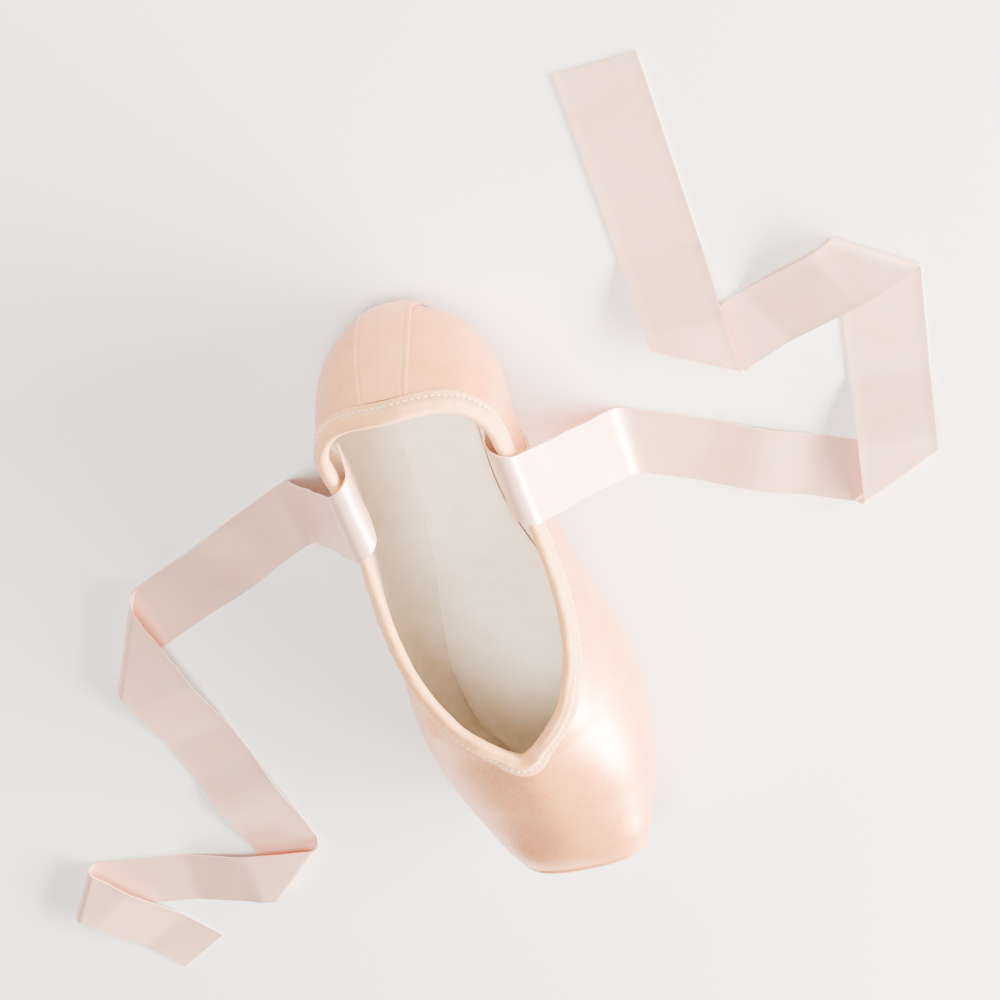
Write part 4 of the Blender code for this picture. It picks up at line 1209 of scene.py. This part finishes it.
def wave(at, skew, side):
    """A low wave that leaves the strip on the floor again."""
    bends = []
    for turn in (WAVE_TURN, -2 * WAVE_TURN, WAVE_TURN):
        bends.append((at, skew, side * turn, WAVE_RADIUS))
        at = bend_end(bends[-1]) + WAVE_RUN
    return bends


def fold(start, bends, at, skew, side):
    """The strip turned over on itself, then let down to the floor."""
    over = (at, skew, side * math.pi, FOLD_RADIUS)
    end = bend_end(over)
    place = folded_strip(start, bends + [over])[2]
    height = (place @ Vector((end, 0, 0))).z - RIBBON_THICKNESS / 2
    rounding = 2 * SETTLE_RADIUS * (1 - math.cos(SETTLE_TURN))
    clear = RIBBON_WIDTH / 2 * abs(math.tan(skew)) + RIBBON_WIDTH / 8
    down = (end + clear, 0.0, side * SETTLE_TURN, SETTLE_RADIUS)
    run = (height - rounding) / math.sin(SETTLE_TURN)
    return [over, down, (bend_end(down) + run, 0.0, -side * SETTLE_TURN, SETTLE_RADIUS)]


def ribbon_bends(lay):
    start, over = over_the_collar()
    land, side = landing(start, over)
    bends = [over, land]
    for kind, after, skew in lay:
        cross = abs(math.tan(bends[-1][1]) - math.tan(math.radians(skew))) * RIBBON_WIDTH / 2
        at = bend_end(bends[-1]) + cross + after * MM
        if kind == "wave":
            bends += wave(at, math.radians(skew), side)
        else:
            bends += fold(start, bends, at, math.radians(skew), side)
            side = -side
    return start, bends


def make_ribbon(name, lay, side, finish):
    """The folded strip as a closed cloth of even steps, with a thicker selvedge along each edge."""
    start, bends = ribbon_bends(lay)
    pairs, flats, _ = folded_strip(start, bends)
    rows = []
    for here, there, flat0, flat1 in zip(pairs, pairs[1:], flats, flats[1:]):
        longest = max((b - a).length for a, b in zip(here, there))
        count = max(1, round(longest / RIBBON_STEP))
        for k in range(count):
            t = k / count
            edges = [a.lerp(b, t) for a, b in zip(here, there)]
            rows.append((*edges, *[a + (b - a) * t for a, b in zip(flat0, flat1)]))
    rows.append((*pairs[-1], *flats[-1]))
    across = np.sin(np.linspace(-1, 1, RIBBON_ACROSS + 1) * math.pi / 2 * SELVEDGE_SPREAD)
    across = across / math.sin(math.pi / 2 * SELVEDGE_SPREAD)
    share = (across + 1) / 2
    left = np.array([tuple(r[0]) for r in rows])
    right = np.array([tuple(r[1]) for r in rows])
    points = left[:, None, :] * (1 - share)[None, :, None] + right[:, None, :] * share[None, :, None]
    flat = np.array([[r[2], r[3]] for r in rows])
    v = flat[:, :1] * (1 - share) + flat[:, 1:] * share
    u = np.repeat((across * RIBBON_WIDTH / 2)[None, :], len(rows), axis=0)
    if side < 0:
        points = points * (-1, 1, 1)
    count, columns = points.shape[:2]
    a = (np.arange(count - 1)[:, None] * columns + np.arange(columns - 1)[None, :]).ravel()
    quads = np.stack([a, a + columns, a + columns + 1, a + 1], axis=1)
    flat_points = points.reshape(-1, 3)
    normals = vertex_normals(flat_points, quads)
    edge = np.repeat(between(np.abs(across), 0.86, 0.97)[None, :], count, axis=0).ravel()
    half = RIBBON_THICKNESS / 2 * (0.45 + 0.5 * edge)
    curl = 0.35 * MM * ripple(v.ravel() / (11 * MM), 0.4 + side) * u.ravel() / (RIBBON_WIDTH / 2)
    hanging = between(flat_points[:, 2], 1.0 * MM, 6 * MM)
    centre = flat_points + normals * (curl * hanging)[:, None]
    uv = np.stack([u.ravel(), v.ravel()], axis=1) / MM
    off = normals * half[:, None]
    made = shell(name, centre + off, centre - off, quads, quads, uv, finish, 70)
    keep_values(made, "edge", np.concatenate([edge, edge]))
    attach(made, "root")
    return made


# Soft single-faced ribbon satin: less bright than the shoe's, so its gloss is wide and low
ribbon_satin = satin("ribbon_satin", "#FCD6C4", "#F8CBB7", 0.42, 0.3, 0.3)
for ribbon_name, lay, side in (("right", RIGHT_LAY, 1.0), ("left", LEFT_LAY, -1.0)):
    ribbon = make_ribbon(f"ribbon_cloth_{ribbon_name}", lay, side, ribbon_satin)
    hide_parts(f"ribbon_{ribbon_name}")


# Studio
# A pale floor, a long soft light low on the +X side and a weaker one above. The camera looks down from
# the heel's side, turned over so that the toe points down in the frame.
SHOE_CENTRE = Vector((0, -5 * MM, 30 * MM))
FRAME_CENTRE = Vector((9 * MM, 62 * MM, -2 * MM))  # between the shoe and its ribbons
VIEW_AZIMUTH = math.radians(164.3)
VIEW_ELEVATION = math.radians(45.1)
VIEW_ROLL = math.radians(180.73)
VIEW_DISTANCE = 820 * MM
LENS = 87

floor_mesh = bpy.data.meshes.new("floor")
REACH = 4.0
FLOOR = -0.05 * MM  # just under the sole
corners = [(-REACH, -REACH, FLOOR), (REACH, -REACH, FLOOR), (REACH, REACH, FLOOR), (-REACH, REACH, FLOOR)]
floor_mesh.from_pydata(corners, [], [(0, 1, 2, 3)])
floor = bpy.data.objects.new("floor", floor_mesh)
bpy.context.scene.collection.objects.link(floor)
# Matt background paper, a little cool so that the warm lights leave it near white
paper, _, paper_shader = new_material("paper", Roughness=0.9)
paper_shader.inputs["Base Color"].default_value = linear("#E9F0F8")
floor_mesh.materials.append(paper)

world = bpy.data.worlds.new("studio")
world.use_nodes = True
world.node_tree.nodes["Background"].inputs["Color"].default_value = linear("#FFF7EE")
world.node_tree.nodes["Background"].inputs["Strength"].default_value = 0.37
bpy.context.scene.world = world


def soft_light(name, place, size, power, colour):
    """A soft box of (width, height), turned to the shoe."""
    lamp = bpy.data.lights.new(name, "AREA")
    lamp.shape = "RECTANGLE"
    lamp.size, lamp.size_y = size
    lamp.energy = power
    lamp.color = linear(colour)[:3]
    made = bpy.data.objects.new(name, lamp)
    made.location = place
    made.rotation_euler = (SHOE_CENTRE - Vector(place)).to_track_quat("-Z", "Y").to_euler()
    bpy.context.scene.collection.objects.link(made)
    return made


soft_light("key", (1.00, -0.46, 0.32), (1.9, 0.30), 235, "#FFEBDA")
soft_light("above", (-0.10, 0.60, 1.15), (0.7, 0.5), 40, "#FFF0E2")

back = Vector(
    (
        math.sin(VIEW_AZIMUTH) * math.cos(VIEW_ELEVATION),
        -math.cos(VIEW_AZIMUTH) * math.cos(VIEW_ELEVATION),
        math.sin(VIEW_ELEVATION),
    )
)
camera_data = bpy.data.cameras.new("camera")
camera_data.lens = LENS
camera_data.sensor_width = 36
camera = bpy.data.objects.new("camera", camera_data)
bpy.context.scene.collection.objects.link(camera)
camera_place = SHOE_CENTRE + back * VIEW_DISTANCE
turn = (camera_place - FRAME_CENTRE).to_track_quat("Z", "Y").to_matrix().to_4x4()
turn = turn @ Matrix.Rotation(VIEW_ROLL, 4, "Z")
camera.matrix_world = Matrix.Translation(camera_place) @ turn
bpy.context.scene.camera = camera

bpy.context.view_layer.update()
